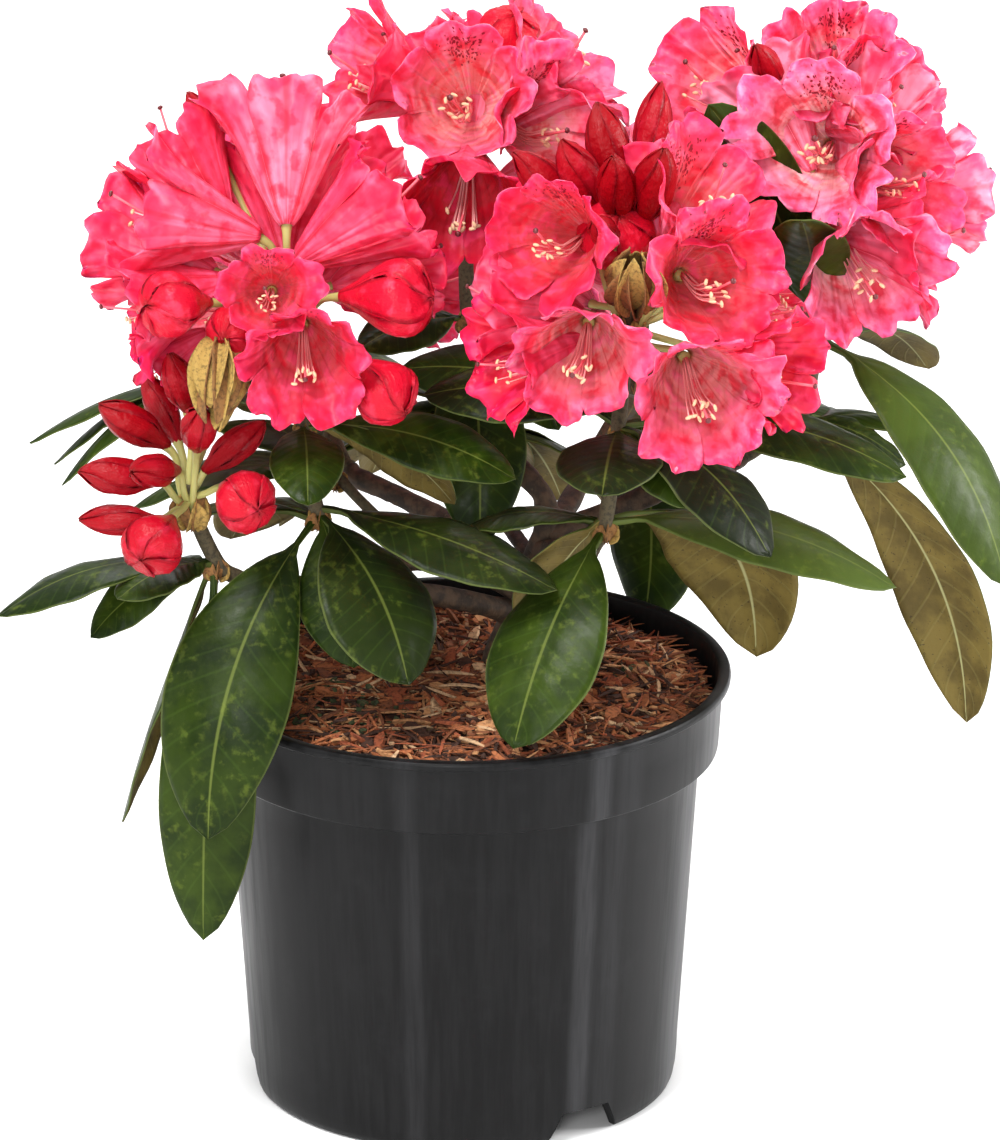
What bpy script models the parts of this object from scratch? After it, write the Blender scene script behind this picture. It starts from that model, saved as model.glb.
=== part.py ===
# Potted rhododendron in a round nursery container, built at its real size.
# Metres, +Z up, origin on the ground under the pot's axis. The front of the plant faces -Y.

import math
import random

import bmesh
import bpy
from mathutils import Matrix, Vector
from mathutils.bvhtree import BVHTree

MM = 0.001
GAP = 0.3 * MM  # between neighbouring solids
CLEAR = 0.4 * MM  # round every leaf and flower, to whatever it doesn't belong to
SIGHT = math.radians(20.2)  # the shown leaves and flowers are placed as seen from this far above level

# Pot: a thin round container, 225 mm over its lip
POT_HEIGHT = 183 * MM
LIP_RADIUS = 112.5 * MM
LIP_HEIGHT = 4 * MM
BAND_HEIGHT = 34 * MM
BAND_TOP_RADIUS = 109.1 * MM
BAND_FOOT_RADIUS = 107.4 * MM
BODY_TOP_RADIUS = 99.3 * MM
BODY_FOOT_RADIUS = 90.5 * MM
FOOT_RADIUS = 86 * MM
FOOT_CURVE_HEIGHT = 17 * MM
WALL = 2 * MM
CHANNEL_ROOF = 15 * MM  # the underside is raised round a flat middle, so that water drains
MIDDLE_RADIUS = 43 * MM
FOOT_RING_INNER_RADIUS = 83 * MM
POT_STEPS = 34

NOTCH_TURNS = (-55, 65, -175)  # degrees from +X
NOTCH_HEIGHT = 13.6 * MM
NOTCH_TOP_WIDTH = 23 * MM
NOTCH_FOOT_WIDTH = 36 * MM
NOTCH_DEPTH = 24 * MM
HOLE_RADIUS = 5 * MM
HOLE_RING_RADIUS = 66 * MM
HOLE_COUNT = 6
HOLE_TURN = 0.41  # of the step from hole to hole
HOLE_SIDES = 12

# Bark mulch over the root ball
SOIL_TOP = 181 * MM
SOIL_EDGE = 176 * MM
SOIL_FLAT_RADIUS = 38 * MM
SOIL_RADIUS = 104.5 * MM
SOIL_SHOULDER = (0.8 * SOIL_RADIUS, SOIL_TOP - 1.5 * MM)

# Stems, as points in mm and radii in mm
TRUNK_PATH = ((18, 12, 181.3), (18, 12, 184), (20, 11.8, 194), (26, 11, 212), (32, 9.5, 230), (36, 8, 247))
TRUNK_RADII = (11.5, 9.2, 7.4, 6.6, 6.0, 5.2)
BOUGH_RADII = (4.6, 3.6)
STEM_RADII = (3.5, 3.0)
SHOOT_GIRTH = 0.7  # of a shoot without flowers, against one with them
JOINT_RUN = 6 * MM  # straight stretch on both sides of a bough's tip
RACHIS_LENGTH = 16 * MM  # the truss's axis, which the flowers stand on
TRUNK_BEVEL = 3  # a trunk has ten sides, a bough or stem six
LIMB_BEVEL = 1

# Leaves
PETIOLE_SHARE = 0.12
PETIOLE_HALF = 1.4 * MM
LEAF_HALF_THICKNESS = 0.9 * MM
LEAF_STATIONS = (0.30, 0.68)  # where the blade is measured, as shares of its length
LEAF_HOOD = 0.10  # how far the margins turn down, as a share of the width
HIDDEN_LEAF_LENGTH = (84 * MM, 108 * MM)
HIDDEN_LEAF_WIDTH = (34 * MM, 42 * MM)
HIDDEN_LEAF_ARCH = 0.14
LEAF_SWAY = 6  # degrees that a hidden leaf's azimuth may stray
LEAF_DROOP = 8
LEAF_ROLL = 15
LEAF_STEP = 1.2 * MM  # from one leaf's root to the next, up the stem

# Flowers, for size 1
COROLLA_LENGTH = 47 * MM
COROLLA_RADIUS = 28 * MM
TUBE_RADIUS = 8 * MM
TUBE_SHARE = 0.45  # of the length, up to where the trumpet opens
THROAT_SHARE = 0.62
SPINDLE = ((0.42, 1), (0.78, 0.72))  # a closed flower's girth on its way to the tip, in shares
CALYX_RADIUS = 2.2 * MM
PEDICEL_SINK = 3 * MM  # into the flower
# A closed flower's kind gives its length, its radius and its finish
CLOSED_KINDS = {
    "half": (40 * MM, 16 * MM, "petal"),
    "bud": (33 * MM, 7.5 * MM, "bud"),
    "husk": (30 * MM, 9 * MM, "husk"),
}
PEDICEL_RADIUS = 1.7 * MM
HIDDEN_REACH = 68 * MM
HIDDEN_RISES = (4, 52, 28)  # degrees, one row after the other
HIDDEN_RISE_STRAY = 5
HIDDEN_TURN_STRAY = 12
HIDDEN_SIZES = (0.95, 1.08)

# A head is one shoot: its stem, one or two whorls of leaves and the truss of flowers at its tip.
# foot, whorls and hub are in mm. A leaf is (right, up, near) from its whorl to its tip as seen from
# the front, width, arch as a share of its length, and roll in degrees. A whorl's last entry spreads
# hidden leaves: (count, first azimuth, last azimuth, fall in degrees).
# A flower is its kind, (right, up, near) from the hub to its mouth, the azimuth and the elevation
# that it faces, and its size. The last entry spreads hidden flowers: (count, first, last azimuth).
HEADS = {
    "left_head": {
        "foot": (-44, -32, 244),
        "hub": (-72, -32, 352),
        "whorls": (
            {
                "at": (-60, -41, 268),
                "leaves": (
                    (-45, -136, 12, 53, 0.15, -30),
                    (38, -72, 26, 54, 0.13, 0),
                    (15, -65, 8, 38, 0.12, 20),
                    (99, -33, 34, 42, 0.06, 10),
                ),
                "hidden": (2, 95, 165, 25),
            },
            {
                "at": (-66, -38, 305),
                "leaves": (
                    (3, -34, 50, 31, 0.16, 0),
                    (88, -23, 12, 32, 0.10, 25),
                    (63, -33, -14, 28, 0.12, -50),
                ),
                "hidden": (2, 60, 120, 15),
            },
        ),
        "flowers": (
            ("open", 0, 86, 10, 90, 52, 1.15),
            ("open", -62, 42, 22, 176, 12, 1.12),
            ("open", 46, 48, 20, 12, 32, 1.1),
            ("open", -7, 5, 68, -92, 15, 0.72),
            ("open", 8, -25, 60, -88, -8, 0.92),
            ("half", -44, 2, 46, -140, 10, 0.85),
            ("half", 41, 5, 42, -18, 5, 1.0),
            ("half", 38, -31, 34, -45, -28, 0.85),
            ("open", -70, 28, -12, 150, 5, 1.0),
            ("open", -66, 0, 18, -172, -14, 0.95),
            ("open", -50, 74, -5, 140, 45, 1.0),
            ("open", -56, -25, 0, -160, -30, 0.64),
            ("bud", -34, 76, -12, 150, 60, 1.0),
            ("half", -20, -8, 38, -112, 0, 0.7),
            ("open", 56, 22, -6, 25, 8, 0.9),
            ("husk", -28, -28, 46, -100, -60, 1.0),
        ),
        "hidden": (3, 60, 130),
    },
    "top_head": {
        "foot": (9, 33, 276),
        "hub": (1, 50, 376),
        "whorls": (
            {
                "at": (2, 44, 325),
                "leaves": (
                    (-45, -15, 20, 30, 0.10, -20),
                    (5, -97, 20, 40, 0.12, 0),
                    (38, -49, 8, 34, 0.12, 15),
                ),
                "hidden": (4, 30, 150, 36),
            },
        ),
        "flowers": (
            ("open", -3, 39, 50, -96, 24, 1.12),
            ("open", -48, 54, 6, -165, 24, 1.05),
            ("open", -28, 60, -6, 140, 50, 0.92),
            ("half", 17, 63, 4, -60, 60, 0.8),
            ("open", 44, 60, 4, -5, 46, 1.1),
            ("open", -2, -13, 56, -95, -18, 1.08),
            ("open", 38, 27, 34, -58, 14, 1.0),
        ),
        "hidden": (5, 15, 165),
    },
    "front_head": {
        "foot": (54, -40, 252),
        "hub": (68, -60, 356),
        "whorls": (
            {
                "at": (59, -50, 266),
                "leaves": (
                    (-38, -93, 34, 50, 0.10, 0),
                    (-58, -2, -12, 30, 0.12, 0),
                    (120, -27, 5, 46, 0.10, 10),
                    (64, -56, -70, 58, 0.26, -30),
                    (-31, -49, -10, 36, 0.10, 75),
                ),
                "hidden": (0, 0, 0, 0),
            },
            {
                "at": (64, -55, 309),
                "leaves": (
                    (-7, -28, 55, 44, 0.12, 0),
                    (30, -33, 35, 32, 0.12, 0),
                    (62, -53, 35, 48, 0.16, -10),
                    (119, -20, -5, 40, 0.10, 12),
                    (-80, 14, -12, 34, 0.10, -28),
                    (-90, 25, -36, 34, 0.10, -28),
                ),
                "hidden": (1, 60, 100, 20),
            },
        ),
        "flowers": (
            ("open", -36, 33, 45, -115, 15, 1.0),
            ("open", -21, -19, 60, -96, -6, 1.0),
            ("open", 31, -34, 58, -80, -6, 1.05),
            ("open", 37, 16, 52, -70, 14, 1.05),
            ("open", 37, 56, 22, -50, 45, 1.0),
            ("open", -54, -17, 32, -150, -6, 0.9),
            ("open", -58, 11, 14, 176, 8, 0.85),
            ("open", 67, -22, 28, -34, -4, 0.98),
            ("open", 62, 6, 6, -8, 4, 0.9),
            ("bud", -19, 60, 6, -150, 62, 1.2),
            ("bud", -8, 72, -6, 150, 75, 1.2),
            ("bud", 10, 80, -12, 60, 70, 1.2),
            ("bud", -5, 55, 16, -100, 60, 1.2),
            ("bud", 10, 56, 12, -60, 65, 1.25),
            ("bud", -33, 58, 0, -170, 45, 1.2),
            ("bud", -10, 37, 28, -110, 35, 0.95),
            ("half", -6, 34, -4, -80, 52, 1.0),
            ("husk", 2, 16, 46, -90, 55, 1.0),
        ),
        "hidden": (4, 40, 150),
    },
    "right_head": {
        "foot": (118, 6, 276),
        "hub": (150, 15, 376),
        "whorls": (
            {
                "at": (141, 10, 292),
                "leaves": (
                    (71, -129, -45, 43, 0.12, -62),
                    (44, -21, -8, 27, 0.10, 10),
                ),
                "hidden": (2, 24, 88, 22),
            },
            {
                "at": (147, 12, 328),
                "leaves": (
                    (79, -106, 8, 45, 0.15, 12),
                    (-46, 92, 40, 34, 0.06, 180),
                    (-8, 44, 62, 32, 0.06, 180),
                ),
                "hidden": (3, 38, 112, 18),
            },
        ),
        "flowers": (
            ("open", -5, 31, 48, -100, 20, 1.15),
            ("open", 3, 67, 14, -95, 38, 1.0),
            ("open", -52, 60, -6, -140, 30, 1.05),
            ("bud", -24, 62, 22, -120, 50, 1.0),
            ("open", 26, 52, 18, -45, 32, 1.0),
            ("open", 35, 16, 37, -52, 10, 1.02),
            ("open", 47, -8, 16, -14, 0, 1.05),
            ("open", 18, -26, 42, -72, -16, 1.1),
        ),
        "hidden": (5, 10, 160),
    },
    "bud_head": {
        "foot": (-88, -48, 240),
        "hub": (-112, -57, 276),
        "whorls": (
            {
                "at": (-102, -52, 250),
                "leaves": (
                    (-90, -23, 5, 38, 0.12, 0),
                    (-40, -16, 26, 32, 0.12, 0),
                    (-52, -32, -5, 22, 0.10, -40),
                    (-6, -158, -32, 42, 0.08, 0),
                    (-40, -109, -42, 34, 0.02, 8),
                ),
                "hidden": (1, 130, 130, 30),
            },
        ),
        "flowers": (
            ("bud", -4, 50, 24, -120, 65, 1.0),
            ("bud", 4, 31, 34, -85, 50, 1.0),
            ("bud", -23, 33, 10, -170, 35, 1.05),
            ("bud", -12, 40, -6, 150, 60, 1.0),
            ("bud", -29, 12, 15, -165, 12, 1.05),
            ("bud", -14, 14, 30, -125, 15, 1.0),
            ("bud", -29, -6, 10, 178, 0, 1.0),
            ("half", -13, -14, 32, -112, -14, 0.8),
            ("half", 21, 3, 26, -62, 0, 0.8),
            ("bud", 18, 24, 4, 0, 40, 1.0),
            ("bud", 6, 44, -10, 90, 60, 1.0),
        ),
        "hidden": (0, 0, 0),
    },
    "left_shoot": {
        "foot": (-34, 14, 244),
        "hub": (-60, 27, 274),
        "whorls": ({"at": (-54, 24, 262), "leaves": (), "hidden": (6, 105, 262, 12)},),
        "flowers": (),
        "hidden": (0, 0, 0),
    },
    "back_left_head": {
        "foot": (-48, 70, 247),
        "hub": (-72, 112, 313),
        "whorls": (
            {
                "at": (-66, 100, 276),
                "leaves": (
                    (-118, -27, 4, 30, 0.12, 12),
                    (-108, -36, -8, 28, 0.16, 12),
                    (-104, -45, 14, 26, 0.18, 12),
                ),
                "hidden": (6, 20, 175, 16),
            },
        ),
        "flowers": (),
        "hidden": (10, 0, 360),
    },
    "back_right_head": {
        "foot": (54, 78, 247),
        "hub": (77, 118, 309),
        "whorls": (
            {
                "at": (72, 108, 273),
                "leaves": ((5, -103, -30, 42, 0.10, 55),),
                "hidden": (6, -5, 150, 18),
            },
        ),
        "flowers": (),
        "hidden": (10, 0, 360),
    },
    "back_shoot": {
        "foot": (6, 84, 243),
        "hub": (1, 116, 268),
        "whorls": ({"at": (3, 106, 256), "leaves": (), "hidden": (8, 5, 175, 34)},),
        "flowers": (),
        "hidden": (0, 0, 0),
    },
}

# What the hidden leaves and flowers of each head are dealt out by
SEEDS = {
    "left_head": 0,
    "top_head": 66,
    "front_head": 2,
    "right_head": 10,
    "bud_head": 4,
    "left_shoot": 5,
    "back_left_head": 36,
    "back_right_head": 41,
    "back_shoot": 8,
}

# Boughs in mm, from the trunk's axis to a head's foot
BOUGHS = {
    "bud_bough": ("bud_head", (23, 11.4, 203), (-8, -14, 220), (-50, -36, 232)),
    "side_bough": ("left_shoot", (25, 11, 210.5), (4, 12, 222), (-14, 12, 233)),
    "back_left_bough": ("back_left_head", (27, 10.8, 217), (0, 36, 230), (-26, 55, 239)),
    "left_bough": ("left_head", (29, 10.3, 221.5), (2, -8, 233), (-24, -22, 239)),
    "back_bough": ("back_shoot", (31, 9.8, 226), (20, 38, 231), (12, 64, 237)),
    "front_bough": ("front_head", (33, 9.3, 232.5), (43, -14, 240), (50, -29, 246)),
    "back_right_bough": ("back_right_head", (33, 9.3, 234), (42, 36, 239), (49, 60, 243)),
    "right_bough": ("right_head", (34.5, 8.7, 239.5), (64, 8, 251), (94, 7, 265)),
    "top_bough": ("top_head", (36, 8, 247), (32, 14, 257), (18, 25, 268)),
}

COLOURS = {
    "pot": ((0.035, 0.038, 0.042), 0.38),
    "mulch": ((0.20, 0.075, 0.035), 0.9),
    "bark": ((0.10, 0.055, 0.035), 0.8),
    "leaf": ((0.035, 0.10, 0.022), 0.35),
    "petal": ((0.80, 0.09, 0.14), 0.5),
    "bud": ((0.50, 0.015, 0.03), 0.5),
    "husk": ((0.36, 0.24, 0.05), 0.6),
}


def clear_scene():
    for thing in list(bpy.data.objects):
        bpy.data.objects.remove(thing, do_unlink=True)


def collection(name):
    made = bpy.data.collections.new(name)
    bpy.context.scene.collection.children.link(made)
    return made


def material(name):
    if name in bpy.data.materials:
        return bpy.data.materials[name]
    colour, roughness = COLOURS[name]
    made = bpy.data.materials.new(name)
    made.use_nodes = True
    made.diffuse_color = (*colour, 1)
    shader = made.node_tree.nodes["Principled BSDF"]
    shader.inputs["Base Color"].default_value = (*colour, 1)
    shader.inputs["Roughness"].default_value = roughness
    shader.inputs["Metallic"].default_value = 0
    return made


def place(name, data, where, *finish):
    made = bpy.data.objects.new(name, data)
    for each in finish:
        data.materials.append(material(each))
    where.objects.link(made)
    return made


def vector(point):
    return Vector(point) * MM


def seen(right, up, near):
    """A step in mm as seen from the front, turned into the plant's own frame."""
    back = up * math.sin(SIGHT) - near * math.cos(SIGHT)
    rise = up * math.cos(SIGHT) + near * math.sin(SIGHT)
    return vector((right, back, rise))


def direction(azimuth, elevation):
    turn, rise = math.radians(azimuth), math.radians(elevation)
    return Vector((math.cos(turn) * math.cos(rise), math.sin(turn) * math.cos(rise), math.sin(rise)))


def frame_along(start, axis):
    return Matrix.Translation(start) @ axis.to_track_quat("Z", "Y").to_matrix().to_4x4()


# Turned and cut pieces of the pot


def turned(name, profile, steps, where, finish):
    mesh = bpy.data.meshes.new(name)
    points = [(radius, 0, height) for radius, height in profile]
    mesh.from_pydata(points, [(i, i + 1) for i in range(len(points) - 1)], [])
    made = place(name, mesh, where, finish)
    screw = made.modifiers.new("Turn", "SCREW")
    screw.steps = steps
    screw.render_steps = steps
    screw.use_merge_vertices = True
    screw.merge_threshold = 0.00001
    screw.use_smooth_shade = True
    return made


def pot_inside():
    """The pot's inner face from its axis to the lip, as (radius, height)."""
    band_foot = POT_HEIGHT - BAND_HEIGHT
    floor = CHANNEL_ROOF + WALL
    return [
        (0, WALL),
        (MIDDLE_RADIUS - WALL, WALL),
        (MIDDLE_RADIUS + WALL, floor),
        (BODY_FOOT_RADIUS - 2 * WALL, floor),
        (BODY_FOOT_RADIUS - WALL, floor + WALL),
        (BODY_TOP_RADIUS - WALL, band_foot),
        (BAND_FOOT_RADIUS - WALL, band_foot + WALL),
        (BAND_TOP_RADIUS - WALL, POT_HEIGHT - WALL),
    ]


def pot_outside():
    """The pot's lip, outer face and underside, back to its axis."""
    band_foot = POT_HEIGHT - BAND_HEIGHT
    lip_foot = POT_HEIGHT - LIP_HEIGHT
    edge = 1 * MM
    return [
        (BAND_TOP_RADIUS - WALL + edge, POT_HEIGHT),
        (LIP_RADIUS - edge, POT_HEIGHT),
        (LIP_RADIUS, POT_HEIGHT - edge),
        (LIP_RADIUS, lip_foot + edge),
        (LIP_RADIUS - edge, lip_foot),
        (BAND_TOP_RADIUS, lip_foot - edge / 2),
        (BAND_FOOT_RADIUS, band_foot + 2 * edge),
        (BAND_FOOT_RADIUS - 1.5 * edge, band_foot),
        (BODY_TOP_RADIUS, band_foot - 2 * edge),
        (BODY_FOOT_RADIUS, FOOT_CURVE_HEIGHT),
        (BODY_FOOT_RADIUS - edge, FOOT_CURVE_HEIGHT / 2),
        (BODY_FOOT_RADIUS - 2.6 * edge, 2 * edge),
        (FOOT_RADIUS, 0),
        (FOOT_RING_INNER_RADIUS, 0),
        (FOOT_RING_INNER_RADIUS + edge, CHANNEL_ROOF),
        (MIDDLE_RADIUS + 2 * WALL, CHANNEL_ROOF),
        (MIDDLE_RADIUS, 0),
        (0, 0),
    ]


def notch_cutter(turn, where):
    """A block across the foot ring, wider at the ground than at its top."""
    below = 3 * MM
    bm = bmesh.new()
    bmesh.ops.create_cube(bm, size=1)
    slope = (NOTCH_FOOT_WIDTH - NOTCH_TOP_WIDTH) / NOTCH_HEIGHT
    for vert in bm.verts:
        upper = vert.co.z > 0
        width = NOTCH_TOP_WIDTH if upper else NOTCH_FOOT_WIDTH + slope * below
        vert.co.x = FOOT_RADIUS + vert.co.x * NOTCH_DEPTH
        vert.co.y *= width
        vert.co.z = NOTCH_HEIGHT if upper else -below
    bmesh.ops.transform(bm, matrix=Matrix.Rotation(math.radians(turn), 4, "Z"), verts=bm.verts)
    return cutter(f"notch {turn}", bm, where)


def hole_cutter(index, where):
    bm = bmesh.new()
    place_at = Matrix.Rotation(math.tau * (index + HOLE_TURN) / HOLE_COUNT, 4, "Z") @ Matrix.Translation(
        (HOLE_RING_RADIUS, 0, CHANNEL_ROOF)
    )
    bmesh.ops.create_cone(
        bm,
        cap_ends=True,
        segments=HOLE_SIDES,
        radius1=HOLE_RADIUS,
        radius2=HOLE_RADIUS,
        depth=4 * WALL,
        matrix=place_at,
    )
    return cutter(f"hole {index}", bm, where)


def cutter(name, bm, where):
    mesh = bpy.data.meshes.new(name)
    bm.to_mesh(mesh)
    bm.free()
    made = bpy.data.objects.new(name, mesh)
    made.hide_render = True
    made.display_type = "WIRE"
    where.objects.link(made)
    return made


def subtract(piece, tool):
    cut = piece.modifiers.new(tool.name, "BOOLEAN")
    cut.operation = "DIFFERENCE"
    cut.object = tool


def make_pot(plant, cutters):
    pot = turned("pot", pot_inside() + pot_outside(), POT_STEPS, plant, "pot")
    for turn in NOTCH_TURNS:
        subtract(pot, notch_cutter(turn, cutters))
    for index in range(HOLE_COUNT):
        subtract(pot, hole_cutter(index, cutters))


def make_substrate(plant):
    """The root ball and its mulch, which fill the pot with a small gap all round."""
    profile = [
        (0, SOIL_TOP),
        (SOIL_FLAT_RADIUS, SOIL_TOP),
        SOIL_SHOULDER,
        (SOIL_RADIUS, SOIL_EDGE),
    ]
    wall = pot_inside()[:-1]
    profile += [(max(radius - CLEAR, 0), height + CLEAR) for radius, height in reversed(wall[1:])]
    profile.append((0, WALL + CLEAR))
    return turned("substrate", profile, POT_STEPS, plant, "mulch")


# Limbs


def smooth(points, steps):
    """Points along a curve that passes through the given ones."""
    ends = [2 * points[0] - points[1], *points, 2 * points[-1] - points[-2]]
    path = []
    for i in range(1, len(ends) - 2):
        a, b, c, d = ends[i - 1 : i + 3]
        for k in range(steps):
            t = k / steps
            square, cube = 2 * a - 5 * b + 4 * c - d, 3 * b - a - 3 * c + d
            path.append(0.5 * (2 * b + (c - a) * t + square * t**2 + cube * t**3))
    return path + [points[-1]]


def tube_mesh(name, points, radii, resolution):
    """A tapering tube with flat ends, as a closed mesh."""
    curve = bpy.data.curves.new(name, "CURVE")
    curve.dimensions = "3D"
    curve.bevel_depth = MM
    curve.bevel_resolution = resolution
    curve.use_fill_caps = True
    spline = curve.splines.new("POLY")
    spline.points.add(len(points) - 1)
    for knot, point, radius in zip(spline.points, points, radii):
        knot.co = (*point, 1)
        knot.radius = radius
    guide = bpy.data.objects.new(name, curve)
    bpy.context.scene.collection.objects.link(guide)
    bpy.context.view_layer.update()
    mesh = bpy.data.meshes.new_from_object(guide.evaluated_get(bpy.context.evaluated_depsgraph_get()))
    bpy.data.objects.remove(guide)
    bm = bmesh.new()
    bm.from_mesh(mesh)
    bmesh.ops.remove_doubles(bm, verts=bm.verts, dist=0.001 * MM)
    bmesh.ops.recalc_face_normals(bm, faces=bm.faces)
    bm.to_mesh(mesh)
    bm.free()
    mesh.name = name
    return mesh


def tapered(count, first, last):
    return [first + (last - first) * i / (count - 1) for i in range(count)]


def make_trunk(plant):
    points = [vector(point) for point in TRUNK_PATH]
    place("trunk", tube_mesh("trunk", points, TRUNK_RADII, TRUNK_BEVEL), plant, "bark")


def trunk_cutter(where):
    points = [vector(point) for point in TRUNK_PATH]
    points[-1] = points[-1] + (points[-1] - points[-2]).normalized() * GAP
    mesh = tube_mesh("trunk space", points, [radius + GAP / MM for radius in TRUNK_RADII], TRUNK_BEVEL)
    made = bpy.data.objects.new("trunk space", mesh)
    made.hide_render = True
    made.display_type = "WIRE"
    where.objects.link(made)
    return made


def joint_line(bough):
    """Where a bough hands over to its head's stem: the foot and the way both run there."""
    head = HEADS[bough[0]]
    foot = vector(head["foot"])
    along = (vector(head["whorls"][0]["at"]) - vector(bough[-1])).normalized()
    return foot, along


def girths(head, count, first, last):
    """The radii down a limb, which is thinner where its head has no flowers."""
    share = 1 if HEADS[head]["flowers"] or HEADS[head]["hidden"][0] else SHOOT_GIRTH
    return tapered(count, first * share, last * share)


def make_bough(name, plant, trunk_space):
    bough = BOUGHS[name]
    foot, along = joint_line(bough)
    route = smooth([vector(point) for point in bough[1:]] + [foot - along * JOINT_RUN], 3) + [foot]
    if name == "top_bough":
        rise = (vector(TRUNK_PATH[-1]) - vector(TRUNK_PATH[-2])).normalized()
        route = [route[0] + rise * GAP, route[0] + rise * JOINT_RUN / 2, *route[2:]]
    mesh = tube_mesh(name, route, girths(bough[0], len(route), *BOUGH_RADII), LIMB_BEVEL)
    made = place(name, mesh, plant, "bark")
    if name != "top_bough":
        subtract(made, trunk_space)
    return made


# Leaves and flowers start as primitives with rings of points along +Z, then take their form


def ringed(segments, rings):
    """A closed form with one ring of points for each (height, radius)."""
    bm = bmesh.new()
    spans = len(rings) - 1
    middle = Matrix.Translation((0, 0, spans / 2))
    bmesh.ops.create_cone(
        bm, cap_ends=True, segments=segments, radius1=1, radius2=1, depth=spans, matrix=middle
    )
    for k in range(1, spans):
        everything = bm.verts[:] + bm.edges[:] + bm.faces[:]
        bmesh.ops.bisect_plane(bm, geom=everything, plane_co=(0, 0, k), plane_no=(0, 0, 1))
    level = {vert: round(vert.co.z) for vert in bm.verts}
    for vert, k in level.items():
        height, radius = rings[k]
        vert.co = Vector((vert.co.x * radius, vert.co.y * radius, height))
    return bm, level


def closed_up(bm):
    bmesh.ops.remove_doubles(bm, verts=bm.verts, dist=0.001 * MM)
    return bm


def rod(start, end, radius):
    along = end - start
    bm, _ = ringed(3, [(0, radius), (along.length, radius)])
    bmesh.ops.transform(bm, matrix=frame_along(start, along), verts=bm.verts)
    return closed_up(bm)


def blade_outline(share):
    """Half the blade's width at a share of its length, against half its full width."""
    return math.sin(math.pi * share**1.15) ** 0.7


def leaf(root, tip, width, arch, roll):
    """A leaf on its petiole, arched along its length and hooded across it."""
    chord = tip - root
    level = Vector((chord.x, chord.y, 0)).normalized()
    side = Vector((0, 0, 1)).cross(level)
    top = chord.normalized().cross(side)
    crown = (root + tip) / 2 + top * 2 * arch * chord.length
    shares = [0, PETIOLE_SHARE] + [PETIOLE_SHARE + (1 - PETIOLE_SHARE) * s for s in LEAF_STATIONS] + [1]
    halves = [PETIOLE_HALF, PETIOLE_HALF] + [width / 2 * blade_outline(s) for s in LEAF_STATIONS] + [0]
    bm, station = ringed(4, [(k, 1) for k in range(len(shares))])
    for vert, k in station.items():
        t = shares[k]
        middle = root * (1 - t) ** 2 + crown * 2 * t * (1 - t) + tip * t**2
        along = ((crown - root) * (1 - t) + (tip - crown) * t).normalized()
        turn = Matrix.Rotation(math.radians(roll), 3, along)
        across, normal = turn @ side, turn @ along.cross(side)
        half = halves[k]
        thick = 0 if half == 0 else LEAF_HALF_THICKNESS
        hood = 0 if half <= PETIOLE_HALF else LEAF_HOOD * 2 * half
        if abs(vert.co.x) > abs(vert.co.y):
            vert.co = middle + across * math.copysign(half, vert.co.x) - normal * hood
        else:
            vert.co = middle + normal * math.copysign(thick, vert.co.y)
    return closed_up(bm)


def corolla(mouth, faces, size):
    """An open trumpet: a tube of five sides that widens to a dished mouth of ten."""
    length, radius = COROLLA_LENGTH * size, COROLLA_RADIUS * size
    bm, ring = ringed(5, [(0, CALYX_RADIUS), (TUBE_SHARE * length, TUBE_RADIUS * size), (length, radius)])
    rim = [edge for edge in bm.edges if all(ring[vert] == 2 for vert in edge.verts)]
    bmesh.ops.subdivide_edges(bm, edges=rim, cuts=1)
    for vert in bm.verts:
        if length - vert.co.z < GAP:
            vert.co.xy = vert.co.xy.normalized() * radius
    cap = max(bm.faces, key=lambda face: face.calc_center_median().z)
    throat = bmesh.ops.poke(bm, faces=[cap])["verts"][0]
    throat.co.z = THROAT_SHARE * length
    bmesh.ops.transform(bm, matrix=frame_along(mouth - faces * length, faces), verts=bm.verts)
    return closed_up(bm)


def closed_flower(middle, faces, length, radius):
    """A bud or a half-open flower: a spindle of five sides."""
    rings = [(0, CALYX_RADIUS)] + [(up * length, girth * radius) for up, girth in SPINDLE] + [(length, 0)]
    bm, _ = ringed(5, rings)
    bmesh.ops.transform(bm, matrix=frame_along(middle - faces * length / 2, faces), verts=bm.verts)
    return closed_up(bm)


def flower(kind, root, mouth, faces, size):
    """Returns (piece, finish) pairs: the flower and the pedicel that carries it."""
    if kind == "open":
        body, finish = corolla(mouth, faces, size), "petal"
        base = mouth - faces * COROLLA_LENGTH * size
    else:
        length, radius, finish = CLOSED_KINDS[kind]
        body = closed_flower(mouth, faces, length * size, radius * size)
        base = mouth - faces * length * size / 2
    inside = base + faces * PEDICEL_SINK
    return [(body, finish), (rod(root, inside, PEDICEL_RADIUS), "leaf")]


# Heads


def touches(pieces, others):
    """Whether a piece, grown by the clearance, meets anything that is already there."""
    for piece, _ in pieces:
        grown = piece.copy()
        grown.normal_update()
        for vert in grown.verts:
            vert.co += vert.normal * CLEAR
        tree = BVHTree.FromBMesh(grown)
        grown.free()
        if any(tree.overlap(other) for other in others):
            return True
    return False


def shown_leaves(head):
    for whorl in head["whorls"]:
        at = vector(whorl["at"])
        for k, (right, up, near, width, arch, roll) in enumerate(whorl["leaves"]):
            root = at + Vector((0, 0, (k - 2) * LEAF_STEP))
            yield [(leaf(root, at + seen(right, up, near), width * MM, arch, roll), "leaf")]


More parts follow.
